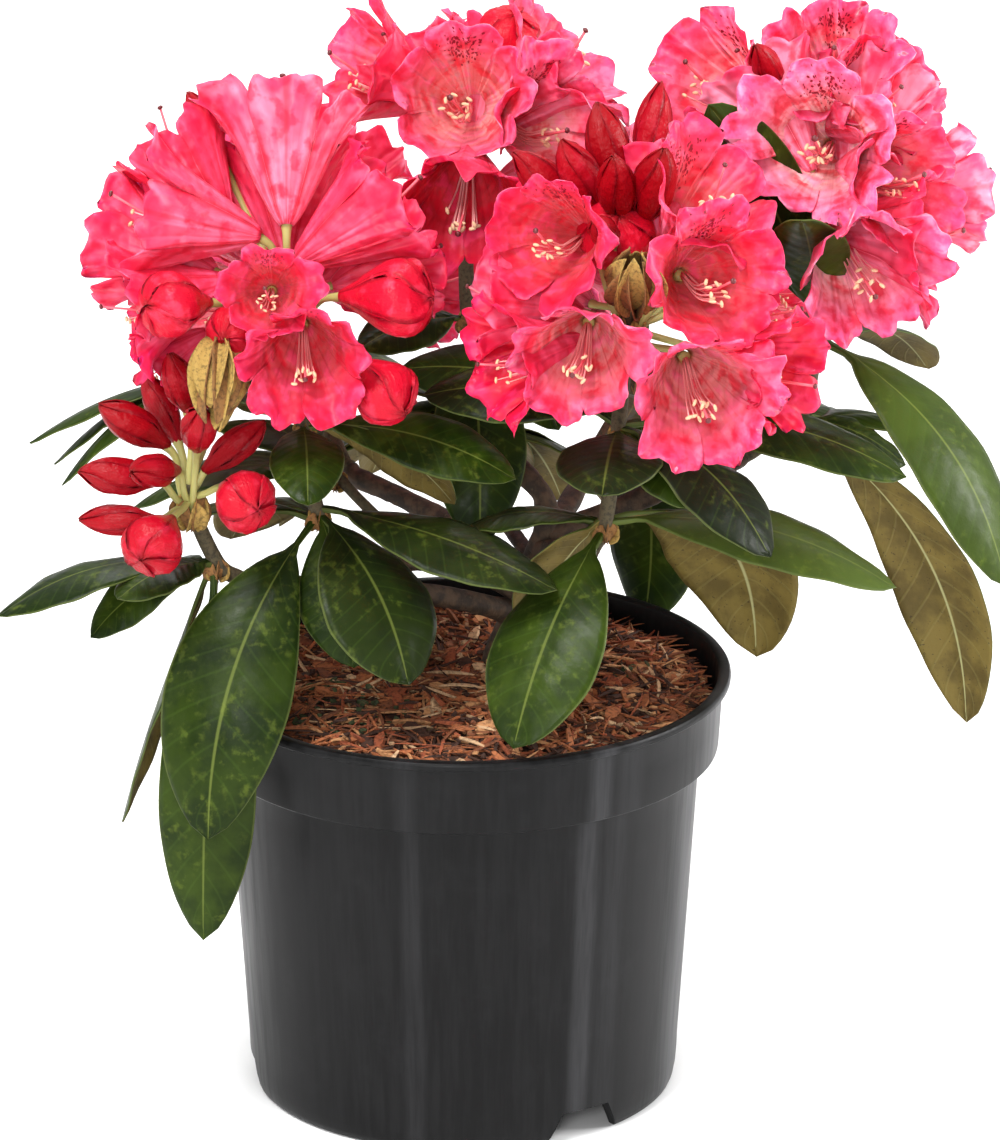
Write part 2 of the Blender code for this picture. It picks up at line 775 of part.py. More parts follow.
def hidden_leaves(head, chance):
    for whorl in head["whorls"]:
        at = vector(whorl["at"])
        count, first, last, fall = whorl["hidden"]
        for k in range(count):
            azimuth = first + (last - first) * (k + 0.5) / count + chance.uniform(-LEAF_SWAY, LEAF_SWAY)
            length = chance.uniform(*HIDDEN_LEAF_LENGTH)
            tip = at + direction(azimuth, chance.uniform(-LEAF_DROOP, LEAF_DROOP) - fall) * length
            root = at + Vector((0, 0, (k - 5) * LEAF_STEP))
            width = chance.uniform(*HIDDEN_LEAF_WIDTH)
            yield [(leaf(root, tip, width, HIDDEN_LEAF_ARCH, chance.uniform(-LEAF_ROLL, LEAF_ROLL)), "leaf")]


def shown_flowers(head):
    hub = vector(head["hub"])
    count = len(head["flowers"])
    for k, (kind, right, up, near, azimuth, elevation, size) in enumerate(head["flowers"]):
        root = hub + Vector((0, 0, RACHIS_LENGTH * (k / count - 0.5)))
        yield flower(kind, root, hub + seen(right, up, near), direction(azimuth, elevation), size)


def hidden_flowers(head, chance):
    """Spreads flowers over the sides that the shown ones leave open, in three rows."""
    hub = vector(head["hub"])
    count, first, last = head["hidden"]
    for k in range(count):
        azimuth = first + (last - first) * (k + 0.5) / count
        rise = HIDDEN_RISES[k % len(HIDDEN_RISES)]
        outward = direction(azimuth, rise + chance.uniform(-HIDDEN_RISE_STRAY, HIDDEN_RISE_STRAY))
        faces = direction(azimuth + chance.uniform(-HIDDEN_TURN_STRAY, HIDDEN_TURN_STRAY), 0.85 * rise)
        root = hub + Vector((0, 0, RACHIS_LENGTH * ((k + 0.5) / count - 0.5)))
        size = chance.uniform(*HIDDEN_SIZES)
        yield flower("open", root, hub + outward * HIDDEN_REACH, faces, size)


def head_stem(name):
    """The stem from its bough's tip through its whorls, with the truss's axis at its end."""
    head = HEADS[name]
    bough = next(each for each in BOUGHS.values() if each[0] == name)
    foot, along = joint_line(bough)
    marks = [vector(whorl["at"]) for whorl in head["whorls"]]
    marks = [foot + along * JOINT_RUN, *marks, vector(head["hub"])]
    route = [foot + along * GAP] + smooth(marks, 2)
    route.append(route[-1] + Vector((0, 0, 0.6 * RACHIS_LENGTH)))
    return tube_mesh(name, route, girths(name, len(route), *STEM_RADII), LIMB_BEVEL)


def tree_of(mesh):
    bm = bmesh.new()
    bm.from_mesh(mesh)
    made = BVHTree.FromBMesh(bm)
    bm.free()
    return made


def grow_heads(limbs):
    """Gives each head its leaves and flowers, and skips what would touch a limb or another head."""
    chances = {name: random.Random(SEEDS[name]) for name in HEADS}
    stems = {name: head_stem(name) for name in HEADS}
    pieces = {name: [] for name in HEADS}
    trees = {name: [tree_of(stems[name])] for name in HEADS}
    rules = (
        lambda head, chance: shown_flowers(head),
        lambda head, chance: shown_leaves(head),
        hidden_flowers,
        hidden_leaves,
    )
    for rule in rules:
        for name, head in HEADS.items():
            others = limbs + [tree for other in HEADS if other != name for tree in trees[other]]
            for group in rule(head, chances[name]):
                if touches(group, others):
                    continue
                pieces[name] += group
                trees[name] += [BVHTree.FromBMesh(piece) for piece, _ in group]
    return stems, pieces


def largest_shell(mesh):
    """Keeps the outer shell of a fused mesh, so that sealed hollows and scraps are gone."""
    bm = bmesh.new()
    bm.from_mesh(mesh)
    left, shells = set(bm.faces), []
    while left:
        start = left.pop()
        shell, front = {start}, [start]
        while front:
            for edge in front.pop().edges:
                for face in edge.link_faces:
                    if face not in shell:
                        shell.add(face)
                        front.append(face)
        left -= shell
        shells.append(shell)
    outer = max(shells, key=len)
    bmesh.ops.delete(bm, geom=[face for face in bm.faces if face not in outer], context="FACES")
    bm.to_mesh(mesh)
    bm.free()


def fuse(name, stem, pieces, plant):
    """Joins a head's stem, leaves and flowers into one closed solid."""
    body = place(name, stem, plant, "leaf")
    loose = collection(f"{name} pieces")
    for index, (bm, finish) in enumerate(pieces):
        mesh = bpy.data.meshes.new(f"{name} {index}")
        bm.to_mesh(mesh)
        bm.free()
        place(mesh.name, mesh, loose, finish)
    join = body.modifiers.new("Fuse", "BOOLEAN")
    join.operation = "UNION"
    join.operand_type = "COLLECTION"
    join.collection = loose
    join.solver = "MANIFOLD"
    join.material_mode = "TRANSFER"
    bpy.context.view_layer.update()
    fused = bpy.data.meshes.new_from_object(body.evaluated_get(bpy.context.evaluated_depsgraph_get()))
    body.modifiers.remove(join)
    body.data = fused
    fused.name = name
    for thing in list(loose.objects):
        bpy.data.objects.remove(thing)
    bpy.data.collections.remove(loose)
    largest_shell(fused)


def main():
    clear_scene()
    plant = collection("Potted rhododendron")
    cutters = collection("Cutters")
    make_pot(plant, cutters)
    make_substrate(plant)
    make_trunk(plant)
    trunk_space = trunk_cutter(cutters)
    for name in BOUGHS:
        make_bough(name, plant, trunk_space)
    bpy.context.view_layer.update()
    reader = bpy.context.evaluated_depsgraph_get()
    limbs = [tree_of(thing.evaluated_get(reader).data) for thing in plant.objects]
    stems, pieces = grow_heads(limbs)
    for name in HEADS:
        fuse(name, stems[name], pieces[name], plant)


main()
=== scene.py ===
# Looks of the potted rhododendron: pot, bark mulch, limbs, leaves, trusses, light and camera

import math
import random

import bpy
import numpy as np
from mathutils import Matrix, Vector
from mathutils.bvhtree import BVHTree


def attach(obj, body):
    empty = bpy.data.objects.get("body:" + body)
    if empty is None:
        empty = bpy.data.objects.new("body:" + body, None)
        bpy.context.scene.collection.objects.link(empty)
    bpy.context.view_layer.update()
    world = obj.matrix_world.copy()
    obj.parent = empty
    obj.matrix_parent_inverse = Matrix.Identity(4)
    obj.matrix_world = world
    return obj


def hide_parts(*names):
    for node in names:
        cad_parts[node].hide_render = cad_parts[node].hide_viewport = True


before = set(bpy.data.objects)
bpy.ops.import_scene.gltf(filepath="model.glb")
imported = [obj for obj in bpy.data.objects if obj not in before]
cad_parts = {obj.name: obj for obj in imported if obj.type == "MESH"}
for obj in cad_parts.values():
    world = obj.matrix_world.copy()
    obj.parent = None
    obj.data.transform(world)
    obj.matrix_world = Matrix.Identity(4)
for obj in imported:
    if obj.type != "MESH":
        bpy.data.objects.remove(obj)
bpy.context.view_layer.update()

mm = 0.001
sight = math.radians(20.2)  # the camera looks down by this, and what shows is placed as seen from it


# Small helps for modelling

def deselectAll():
    if bpy.context.mode != "OBJECT":
        bpy.ops.object.mode_set(mode="OBJECT")
    bpy.ops.object.select_all(action="DESELECT")


def takeUp(piece):
    # makes the piece the active one, and the only one selected
    deselectAll()
    bpy.context.view_layer.objects.active = piece
    piece.select_set(True)


def edit(piece):
    takeUp(piece)
    bpy.ops.object.mode_set(mode="EDIT")


def select(piece, kind, test):
    # marks the faces or edges whose corners pass the test, then goes back to edit mode
    bpy.ops.object.mode_set(mode="EDIT")
    bpy.ops.mesh.select_mode(type={"faces": "FACE", "edges": "EDGE"}[kind])
    bpy.ops.mesh.select_all(action="DESELECT")
    bpy.ops.object.mode_set(mode="OBJECT")
    mesh = piece.data
    for part in mesh.edges if kind == "edges" else mesh.polygons:
        corners = [mesh.vertices[i].co for i in part.vertices]
        part.select = bool(test(corners))
    bpy.ops.object.mode_set(mode="EDIT")


def applyModifier(piece, kind, **settings):
    takeUp(piece)
    added = piece.modifiers.new(kind.title(), kind)
    for key, value in settings.items():
        setattr(added, key, value)
    bpy.ops.object.modifier_apply(modifier=added.name)


def finishPiece(piece, name, slotName, nodes, materials):
    piece.name = name
    piece.data.name = name
    for each in materials:
        piece.data.materials.append(each)
    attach(piece, "root")
    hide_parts(*nodes)


def turned(rings, segments):
    # a circle drawn out ring by ring, each given as its radius and height in mm
    deselectAll()
    radius, height = rings[0]
    bpy.ops.mesh.primitive_circle_add(vertices=segments, radius=radius * mm, location=(0, 0, 0))
    piece = bpy.context.object
    bpy.ops.object.mode_set(mode="EDIT")
    bpy.ops.mesh.select_all(action="SELECT")
    bpy.ops.transform.translate(value=(0, 0, height * mm))
    for nextRadius, nextHeight in rings[1:]:
        bpy.ops.mesh.extrude_edges_move(
            TRANSFORM_OT_translate={"value": (0, 0, (nextHeight - height) * mm)}
        )
        grow = nextRadius / radius
        bpy.ops.transform.resize(value=(grow, grow, 1), center_override=(0, 0, nextHeight * mm))
        radius, height = nextRadius, nextHeight
    return piece


# Masters are modelled once, read as arrays and bent into each copy

def readMaster(piece):
    mesh = piece.data
    places = np.empty(len(mesh.vertices) * 3)
    mesh.vertices.foreach_get("co", places)
    faces = np.full((len(mesh.polygons), 4), -1)
    for face in mesh.polygons:
        faces[face.index, : len(face.vertices)] = face.vertices[:]
    bpy.data.objects.remove(piece)
    return places.reshape(-1, 3), faces


def modelPipe(sides, rings):
    # a closed rod of one ring of points for each step along it
    deselectAll()
    bpy.ops.mesh.primitive_cylinder_add(
        vertices=sides, radius=1, depth=2, end_fill_type="TRIFAN", location=(0, 0, 0)
    )
    piece = bpy.context.object
    edit(piece)
    select(piece, "edges", lambda ends: abs(ends[0].z - ends[1].z) > 1)
    bpy.ops.mesh.subdivide(number_cuts=rings - 2)
    bpy.ops.object.mode_set(mode="OBJECT")
    places, faces = readMaster(piece)
    return {
        "turn": np.arctan2(places[:, 1], places[:, 0]),
        "reach": (np.hypot(places[:, 0], places[:, 1]) > 0.5).astype(float),
        "ring": np.rint((places[:, 2] + 1) / 2 * (rings - 1)).astype(int),
        "rings": rings,
        "faces": faces,
    }


def unit(arrows):
    arrows = np.asarray(arrows, float)
    return arrows / np.maximum(np.linalg.norm(arrows, axis=-1, keepdims=True), 1e-12)


def smoothPath(points, count):
    # evenly stepped points of a curve through the given ones
    points = [np.array(point, float) for point in points]
    ends = [2 * points[0] - points[1], *points, 2 * points[-1] - points[-2]]
    path = []
    for t in np.linspace(0, len(points) - 1, count):
        i = min(int(t), len(points) - 2)
        a, b, c, d = ends[i : i + 4]
        t -= i
        square, cube = 2 * a - 5 * b + 4 * c - d, 3 * b - a - 3 * c + d
        path.append(0.5 * (2 * b + (c - a) * t + square * t**2 + cube * t**3))
    return np.array(path)


def bentPipe(pipe, path, radii, relief=None):
    # the pipe along a path, with a radius for each of its rings
    path = smoothPath(path, pipe["rings"]) if len(path) != pipe["rings"] else np.array(path, float)
    radii = np.interp(np.linspace(0, 1, pipe["rings"]), np.linspace(0, 1, len(radii)), radii)
    forward = unit(np.gradient(path, axis=0))
    askew = (0.31, 0.92, 0.24)  # a direction that no limb starts in
    side = unit(np.cross(forward[0], askew))
    sides = []
    for ahead in forward:
        side = unit(side - ahead * side.dot(ahead))
        sides.append(side)
    sides = np.array(sides)
    over = np.cross(forward, sides)
    ring, turn = pipe["ring"], pipe["turn"]
    wide = radii[ring] * pipe["reach"]
    if relief is not None:
        wide = wide * relief(turn, ring / (pipe["rings"] - 1))
    sideways, upwards = np.cos(turn) * wide, np.sin(turn) * wide
    return path[ring] + sides[ring] * sideways[:, None] + over[ring] * upwards[:, None]


def joinedMesh(name, parts, attributes=(), smooth=True):
    # one mesh from parts that each hold places, faces, a material number and maybe a tile of the map
    starts = np.cumsum([0] + [len(part["places"]) for part in parts])
    places = np.concatenate([part["places"] for part in parts])
    faces = [np.where(part["faces"] < 0, -1, part["faces"] + start) for part, start in zip(parts, starts)]
    faces = np.concatenate(faces)
    used = faces >= 0
    corners = faces[used]
    sizes = used.sum(axis=1)
    mesh = bpy.data.meshes.new(name)
    mesh.vertices.add(len(places))
    mesh.vertices.foreach_set("co", places.ravel())
    mesh.loops.add(len(corners))
    mesh.loops.foreach_set("vertex_index", corners)
    mesh.polygons.add(len(faces))
    mesh.polygons.foreach_set("loop_start", np.concatenate([[0], np.cumsum(sizes)[:-1]]))
    mesh.polygons.foreach_set("loop_total", sizes)
    finish = [np.broadcast_to(part["finish"], len(part["faces"])) for part in parts]
    mesh.polygons.foreach_set("material_index", np.concatenate(finish))
    mesh.polygons.foreach_set("use_smooth", np.full(len(faces), smooth))
    mesh.update(calc_edges=True)
    for each in attributes:
        layer = mesh.attributes.new(each, "FLOAT", "POINT")
        values = [np.broadcast_to(part[each], len(part["places"])) for part in parts]
        layer.data.foreach_set("value", np.concatenate(values).astype(np.float32))
    if "map" in parts[0]:
        layer = mesh.uv_layers.new(name="OFBake")
        spots = np.concatenate([part["map"] for part in parts])[used]
        layer.data.foreach_set("uv", spots.ravel().astype(np.float32))
    mesh.validate()
    piece = bpy.data.objects.new(name, mesh)
    bpy.context.scene.collection.objects.link(piece)
    return piece


def tilePlace(index, count):
    # a square of the unit map for each of count shapes, with a margin
    side = math.ceil(math.sqrt(count))
    width = 1 / side
    margin = 0.06
    return (
        ((index % side) + margin) * width,
        (index // side + margin) * width,
        width * (1 - 2 * margin),
    )


def mapOnTiles(spot, tops, left, low, size):
    # tops on the left half of the tile, the rest on the right half
    half = 0.47
    across = spot[:, :, 0] * half
    across = np.where(tops[:, None], across, 1 - half + across)
    return np.stack([left + across * size, low + spot[:, :, 1] * size], axis=2)


# Shaders

class Paint:
    # one node tree, with short ways to add nodes and join them
    def __init__(self, tree):
        self.tree = tree

    def feed(self, socket, value):
        if isinstance(value, bpy.types.NodeSocket):
            self.tree.links.new(value, socket)
        elif socket.type == "RGBA":
            socket.default_value = (*value, 1)
        else:
            socket.default_value = value

    def add(self, kind, inputs, **settings):
        node = self.tree.nodes.new("ShaderNode" + kind)
        for key, value in settings.items():
            setattr(node, key, value)
        for key, value in inputs.items():
            self.feed(node.inputs[key], value)
        return node

    def math(self, operation, a, b=0.0):
        return self.add("Math", {0: a, 1: b}, operation=operation).outputs[0]

    def spread(self, value, low, high, start=0.0, end=1.0):
        inputs = {"Value": value, "From Min": low, "From Max": high, "To Min": start, "To Max": end}
        return self.add("MapRange", inputs, interpolation_type="SMOOTHSTEP").outputs["Result"]

    def mix(self, share, a, b):
        return self.add("Mix", {0: share, 6: a, 7: b}, data_type="RGBA").outputs[2]

    def attribute(self, name):
        return self.add("Attribute", {}, attribute_name=name).outputs["Fac"]

    def attributes(self, *names):
        return [self.attribute(name) for name in names]

    def noise(self, place, size, detail=3.0, rough=0.55):
        inputs = {"Vector": place, "Scale": size, "Detail": detail, "Roughness": rough}
        return self.add("TexNoise", inputs).outputs["Fac"]

    def objectPlace(self, stretch=(1, 1, 1)):
        place = self.add("TexCoord", {}).outputs["Object"]
        return self.add("Mapping", {"Vector": place, "Scale": stretch}).outputs["Vector"]

    def group(self, made, inputs):
        node = self.tree.nodes.new("ShaderNodeGroup")
        node.node_tree = made
        for key, value in inputs.items():
            self.feed(node.inputs[key], value)
        return node.outputs

    def bump(self, height, strength, distance):
        inputs = {"Height": height, "Strength": strength, "Distance": distance * mm}
        return self.add("Bump", inputs).outputs["Normal"]


def newGroup(name, inputs, outputs):
    tree = bpy.data.node_groups.new(name, "ShaderNodeTree")
    for label, kind, value in inputs:
        socket = tree.interface.new_socket(label, in_out="INPUT", socket_type="NodeSocket" + kind)
        socket.default_value = (*value, 1) if kind == "Color" else value
    for label, kind in outputs:
        tree.interface.new_socket(label, in_out="OUTPUT", socket_type="NodeSocket" + kind)
    given = tree.nodes.new("NodeGroupInput").outputs
    out = tree.nodes.new("NodeGroupOutput").inputs
    return tree, Paint(tree), given, out


def newMaterial(name, **sockets):
    made = bpy.data.materials.new(name)
    made.use_nodes = True
    paint = Paint(made.node_tree)
    shader = made.node_tree.nodes["Principled BSDF"]
    for key, value in sockets.items():
        paint.feed(shader.inputs[key.replace("_", " ")], value)
    return made, paint, shader


def plainMaterial(name, colour, roughness, **sockets):
    made, _, _ = newMaterial(name, Base_Color=colour, Roughness=roughness, **sockets)
    return made


# blotches: two colours in soft patches, used on nearly everything that grew
blotchTree, paint, given, out = newGroup(
    "blotches",
    [
        ("Light", "Color", (1, 1, 1)),
        ("Dark", "Color", (0, 0, 0)),
        ("Size", "Float", 100.0),
        ("Cover", "Float", 0.5),
        ("Place", "Vector", (0, 0, 0)),
    ],
    [("Colour", "Color")],
)
cloud = paint.noise(given["Place"], given["Size"], 4.0)
softness = 0.12
lowEnd = paint.math("SUBTRACT", given["Cover"], softness)
highEnd = paint.math("ADD", given["Cover"], softness)
patches = paint.spread(cloud, lowEnd, highEnd)
paint.feed(out["Colour"], paint.mix(patches, given["Light"], given["Dark"]))

# veining: midrib and side veins of a blade, from how far across and along it a point is
veinTree, paint, given, out = newGroup(
    "veining",
    [
        ("Across", "Float", 0.0),
        ("Along", "Float", 0.0),
        ("Veins", "Float", 13.0),
        ("Slope", "Float", 1.7),
    ],
    [("Midrib", "Float"), ("Side veins", "Float"), ("Quilt", "Float")],
)
fromRib = paint.math("ABSOLUTE", given["Across"])
paint.feed(out["Midrib"], paint.spread(fromRib, 0.01, 0.04, 1.0, 0.0))
step = paint.math("MULTIPLY", given["Along"], given["Veins"])
lean = paint.math("MULTIPLY", fromRib, given["Slope"])
phase = paint.math("FRACT", paint.math("SUBTRACT", paint.math("ADD", step, 4.0), lean))
fromVein = paint.math("ABSOLUTE", paint.math("SUBTRACT", phase, 0.5))
paint.feed(out["Side veins"], paint.spread(fromVein, 0.02, 0.09, 1.0, 0.0))
paint.feed(out["Quilt"], paint.spread(fromVein, 0.0, 0.5))


def blotches(paint, place, paleMottleAndHighlight, dark, size, cover=0.5):
    inputs = {"Light": paleMottleAndHighlight, "Dark": dark, "Size": size, "Cover": cover, "Place": place}
    return paint.group(blotchTree, inputs)["Colour"]


def leafVeins(paint):
    across, along = paint.attributes("across", "along")
    return across, paint.group(veinTree, {"Across": across, "Along": along})


def grainyMaterial(name, colour):
    # dull and in two tones, as chips, crumbs, scales and stems are
    made, paint, shader = newMaterial(name, Base_Color=colour, Roughness=0.85)
    made.diffuse_color = (*colour, 1)
    place = paint.objectPlace()
    dark = tuple(0.45 * part for part in colour)
    paint.feed(shader.inputs["Base Color"], blotches(paint, place, colour, dark, 620.0, 0.56))
    paint.feed(shader.inputs["Normal"], paint.bump(paint.noise(place, 1500.0, 2.0), 0.5, 0.4))
    return made


print("shared shader groups built")


# Pot: thin satin plastic, turned, with its foot notches and drain holes cut out

potShape = {
    "segments": 180,
    # radius and height in mm, up the inside, over the lip and down to the underside
    "inside": (
        (1.5, 2), (41, 2), (45, 17), (87, 17), (89, 20),
        (97.4, 149), (105.4, 151), (106.6, 176), (107, 181.2),
    ),
    "lip": (
        (107.4, 182.5), (108.3, 183), (110.7, 183), (111.8, 182.7), (112.4, 181.9), (112.5, 180.9),
        (112.4, 179.9), (111.7, 179.2), (110.3, 178.9),
    ),
    "band": (
        (109.4, 178.6), (109.1, 177.8), (108.3, 165), (107.4, 151.5), (107.1, 150.2), (106.3, 149.4),
    ),
    "body": (
        (104, 149), (101, 148.6), (99.7, 147.9), (99.35, 146.6), (98.6, 135), (94.8, 80), (90.6, 20),
    ),
    "foot": ((90.4, 14), (89.9, 8), (89.1, 3.6), (88.1, 1.2), (86.6, 0.1), (86, 0)),
    "underside": ((83, 0), (83.2, 1), (84, 15), (47, 15), (43, 0), (1.5, 0)),
    "smoothBelow": 32,  # degrees
    # turns in degrees, widths at top and foot, height, how far out the cutter is and how deep
    "notches": (-55, 65, -175),
    "notchWidth": (23, 36),
    "notchHeight": 13.6,
    "notchReach": (86, 24),
    # radius of their ring, their own, how many and the first one's turn; the cutter's level and depth
    "holes": (66, 5, 6, 24.6),
    "holeCut": (15, 8),
    # painted reflections, bands painted paler on the wall in place of the lamps' reflections: turn from
    # the front in radians, half width, strength
    "paintedReflections": (
        (0.56, 0.08, 0.95),
        (0.7, 0.09, 0.35),
        (-0.22, 0.07, 0.3),
        (1.38, 0.3, 1.4),
        (-1.4, 0.2, 0.5),
    ),
}


def notchCutter(turn):
    below = 3  # how far it stands out under the pot
    narrow, wide = potShape["notchWidth"]
    height = potShape["notchHeight"]
    out, deep = (part * mm for part in potShape["notchReach"])
    wide += (wide - narrow) / height * below
    deselectAll()
    bpy.ops.mesh.primitive_cube_add(size=1, location=(0, 0, 0))
    cutter = bpy.context.object
    edit(cutter)
    bpy.ops.mesh.select_all(action="SELECT")
    block = (deep, narrow * mm, (height + below) * mm)
    bpy.ops.transform.resize(value=block, center_override=(0, 0, 0))
    bpy.ops.transform.translate(value=(out, 0, (height - below) / 2 * mm))
    select(cutter, "faces", lambda corners: max(co.z for co in corners) < 0)
    bpy.ops.transform.resize(value=(1, wide / narrow, 1), center_override=(out, 0, 0))
    bpy.ops.object.mode_set(mode="OBJECT")
    cutter.data.transform(Matrix.Rotation(math.radians(turn), 4, "Z"))
    return cutter


def holeCutter(index):
    ring, radius, count, start = potShape["holes"]
    level, depth = potShape["holeCut"]
    turn = math.radians(start + 360 * index / count)
    centre = (ring * mm * math.cos(turn), ring * mm * math.sin(turn), level * mm)
    deselectAll()
    bpy.ops.mesh.primitive_cylinder_add(
        vertices=32, radius=radius * mm, depth=depth * mm, location=centre
    )
    return bpy.context.object


def modelPot():
    parts = ("inside", "lip", "band", "body", "foot", "underside")
    rings = [ring for part in parts for ring in potShape[part]]
    pot = turned(rings, potShape["segments"])
    select(pot, "edges", lambda ends: all(math.hypot(co.x, co.y) < 2 * mm for co in ends))
    bpy.ops.mesh.fill()
    bpy.ops.mesh.select_all(action="SELECT")
    bpy.ops.mesh.normals_make_consistent(inside=False)
    bpy.ops.object.mode_set(mode="OBJECT")
    cutters = [notchCutter(turn) for turn in potShape["notches"]]
    cutters += [holeCutter(index) for index in range(potShape["holes"][2])]
    for cutter in cutters:
        applyModifier(pot, "BOOLEAN", operation="DIFFERENCE", object=cutter, solver="EXACT")
        bpy.data.objects.remove(cutter)
    takeUp(pot)
    bpy.ops.object.shade_smooth_by_angle(angle=math.radians(potShape["smoothBelow"]))
    return pot


potPlastic, paint, shader = newMaterial("potPlastic", Roughness=0.36, Specular_IOR_Level=0.13)
streaks = paint.noise(paint.objectPlace((260, 260, 5)), 1.0, 3.0, 0.7)
dustPlace = paint.objectPlace()
dust = paint.noise(dustPlace, 55.0, 5.0, 0.7)
paint.feed(shader.inputs["Roughness"], paint.spread(streaks, 0.3, 0.72, 0.33, 0.47))
worn = paint.mix(paint.spread(dust, 0.5, 0.78), (0.005, 0.005, 0.0052), (0.0085, 0.0085, 0.009))
streaksAndReflections = paint.mix(paint.spread(streaks, 0.35, 0.7, 0.0, 0.5), worn, (0.0125, 0.0125, 0.013))
spot = paint.add("SeparateXYZ", {"Vector": dustPlace})
turn = paint.math("ARCTAN2", spot.outputs["X"], paint.math("MULTIPLY", spot.outputs["Y"], -1.0))
# each band lightens the wall in vertical streaks: a painted reflection, not wear
for middle, spread, share in potShape["paintedReflections"]:
    away = paint.math("ABSOLUTE", paint.math("SUBTRACT", turn, middle))
    paintedReflection = paint.math("MULTIPLY", paint.spread(away, 0.2 * spread, spread, share, 0.0), streaks)
    streaksAndReflections = paint.mix(paintedReflection, streaksAndReflections, (0.05, 0.05, 0.053))
paint.feed(shader.inputs["Base Color"], streaksAndReflections)
paint.feed(shader.inputs["Normal"], paint.bump(paint.math("ADD", streaks, dust), 0.06, 0.2))

finishPiece(modelPot(), "pot_container", "pot", ["pot"], [potPlastic])
print("pot modelled")


# Mulch: a dark mound with bark fibres, chips and crumbs strewn over it

mulchShape = {
    "radius": 104.5,
    # radius and height in mm, then the radii that the mound is turned at and where its skirt ends
    "mound": ((0, 177.5), (40, 177), (80, 175.5), (98, 172), (104.6, 168)),
    "moundRings": (104.6, 101, 96, 90, 82, 72, 60, 46, 32, 18, 6, 1),
    "skirt": (104.2, 150),
    "grain": (6, 3.5),  # how wide its lumps are and how high
    "crowd": 4000,
    "heaped": 5.0,  # how much higher the last pieces lie than the first
    "wallGap": 1.5,
    # fibres, chips and crumbs: share of the crowd, then length, width and thickness in mm
    "kinds": (
        (0.50, (7, 29), (0.5, 1.6), (0.4, 1.0)),
        (0.14, (6, 17), (2.6, 7.0), (0.8, 2.0)),
        (0.36, (1.8, 5.4), (1.3, 3.2), (1.0, 2.2)),
    ),
    # for each kind: cuts along the master, how ragged it is, and the seeds of its forms
    "masters": ((4, 0.22, (1, 2, 3)), (2, 0.3, (4, 5, 6)), (1, 0.35, (7, 8))),
    "bow": (-0.8, 1.2),
    "sideBow": (-1.2, 1.2),
    "tilts": (11, 22, 22),  # how unevenly each kind lies, in degrees
    "roll": 22,
    "colours": {
        "chipRust": (0.38, 0.12, 0.04),
        "chipBrown": (0.21, 0.066, 0.025),
        "chipTan": (0.50, 0.24, 0.10),
        "chipDark": (0.055, 0.02, 0.01),
        "chipRed": (0.29, 0.068, 0.023),
        "chipPale": (0.60, 0.38, 0.21),
    },
    "colourShares": (0.22, 0.21, 0.13, 0.23, 0.13, 0.08),
    # where moss has taken, and how far it reaches, in mm
    "mossPlaces": ((-45, -42, 26), (70, 12, 12), (-62, -8, 12)),
    "mossShare": 0.75,
}


def moundHeight(radius):
    reach, heights = zip(*mulchShape["mound"])
    return np.interp(radius, reach, heights)


def modelMound():
    rings = [(radius, float(moundHeight(radius))) for radius in mulchShape["moundRings"]]
    mound = turned([mulchShape["skirt"], *rings], 96)
    bpy.ops.mesh.edge_face_add()
    bpy.ops.mesh.select_all(action="SELECT")
    bpy.ops.mesh.normals_make_consistent(inside=False)
    bpy.ops.mesh.subdivide(number_cuts=1)
    bpy.ops.object.mode_set(mode="OBJECT")
    wide, high = mulchShape["grain"]
    grain = bpy.data.textures.new("moundGrain", "CLOUDS")
    grain.noise_scale = wide * mm
    applyModifier(mound, "DISPLACE", texture=grain, strength=high * mm, mid_level=0.5, direction="Z")
    return mound


def modelChip(cutsAlong, ragged, seed):
    # a splinter: a box cut along its length, its corners pulled about
    deselectAll()
    bpy.ops.mesh.primitive_cube_add(size=2, location=(0, 0, 0))
    chip = bpy.context.object
    edit(chip)
    select(chip, "edges", lambda ends: abs(ends[0].x - ends[1].x) > 1)
    bpy.ops.mesh.subdivide(number_cuts=cutsAlong)
    bpy.ops.mesh.select_all(action="SELECT")
    bpy.ops.transform.vertex_random(offset=ragged, seed=seed)
    select(chip, "faces", lambda corners: all(abs(co.x) > 0.6 for co in corners))
    bpy.ops.transform.resize(value=(1, 0.45, 0.5), center_override=(0, 0, 0))
    bpy.ops.mesh.select_all(action="SELECT")
    bpy.ops.mesh.quads_convert_to_tris()
    bpy.ops.object.mode_set(mode="OBJECT")
    return readMaster(chip)


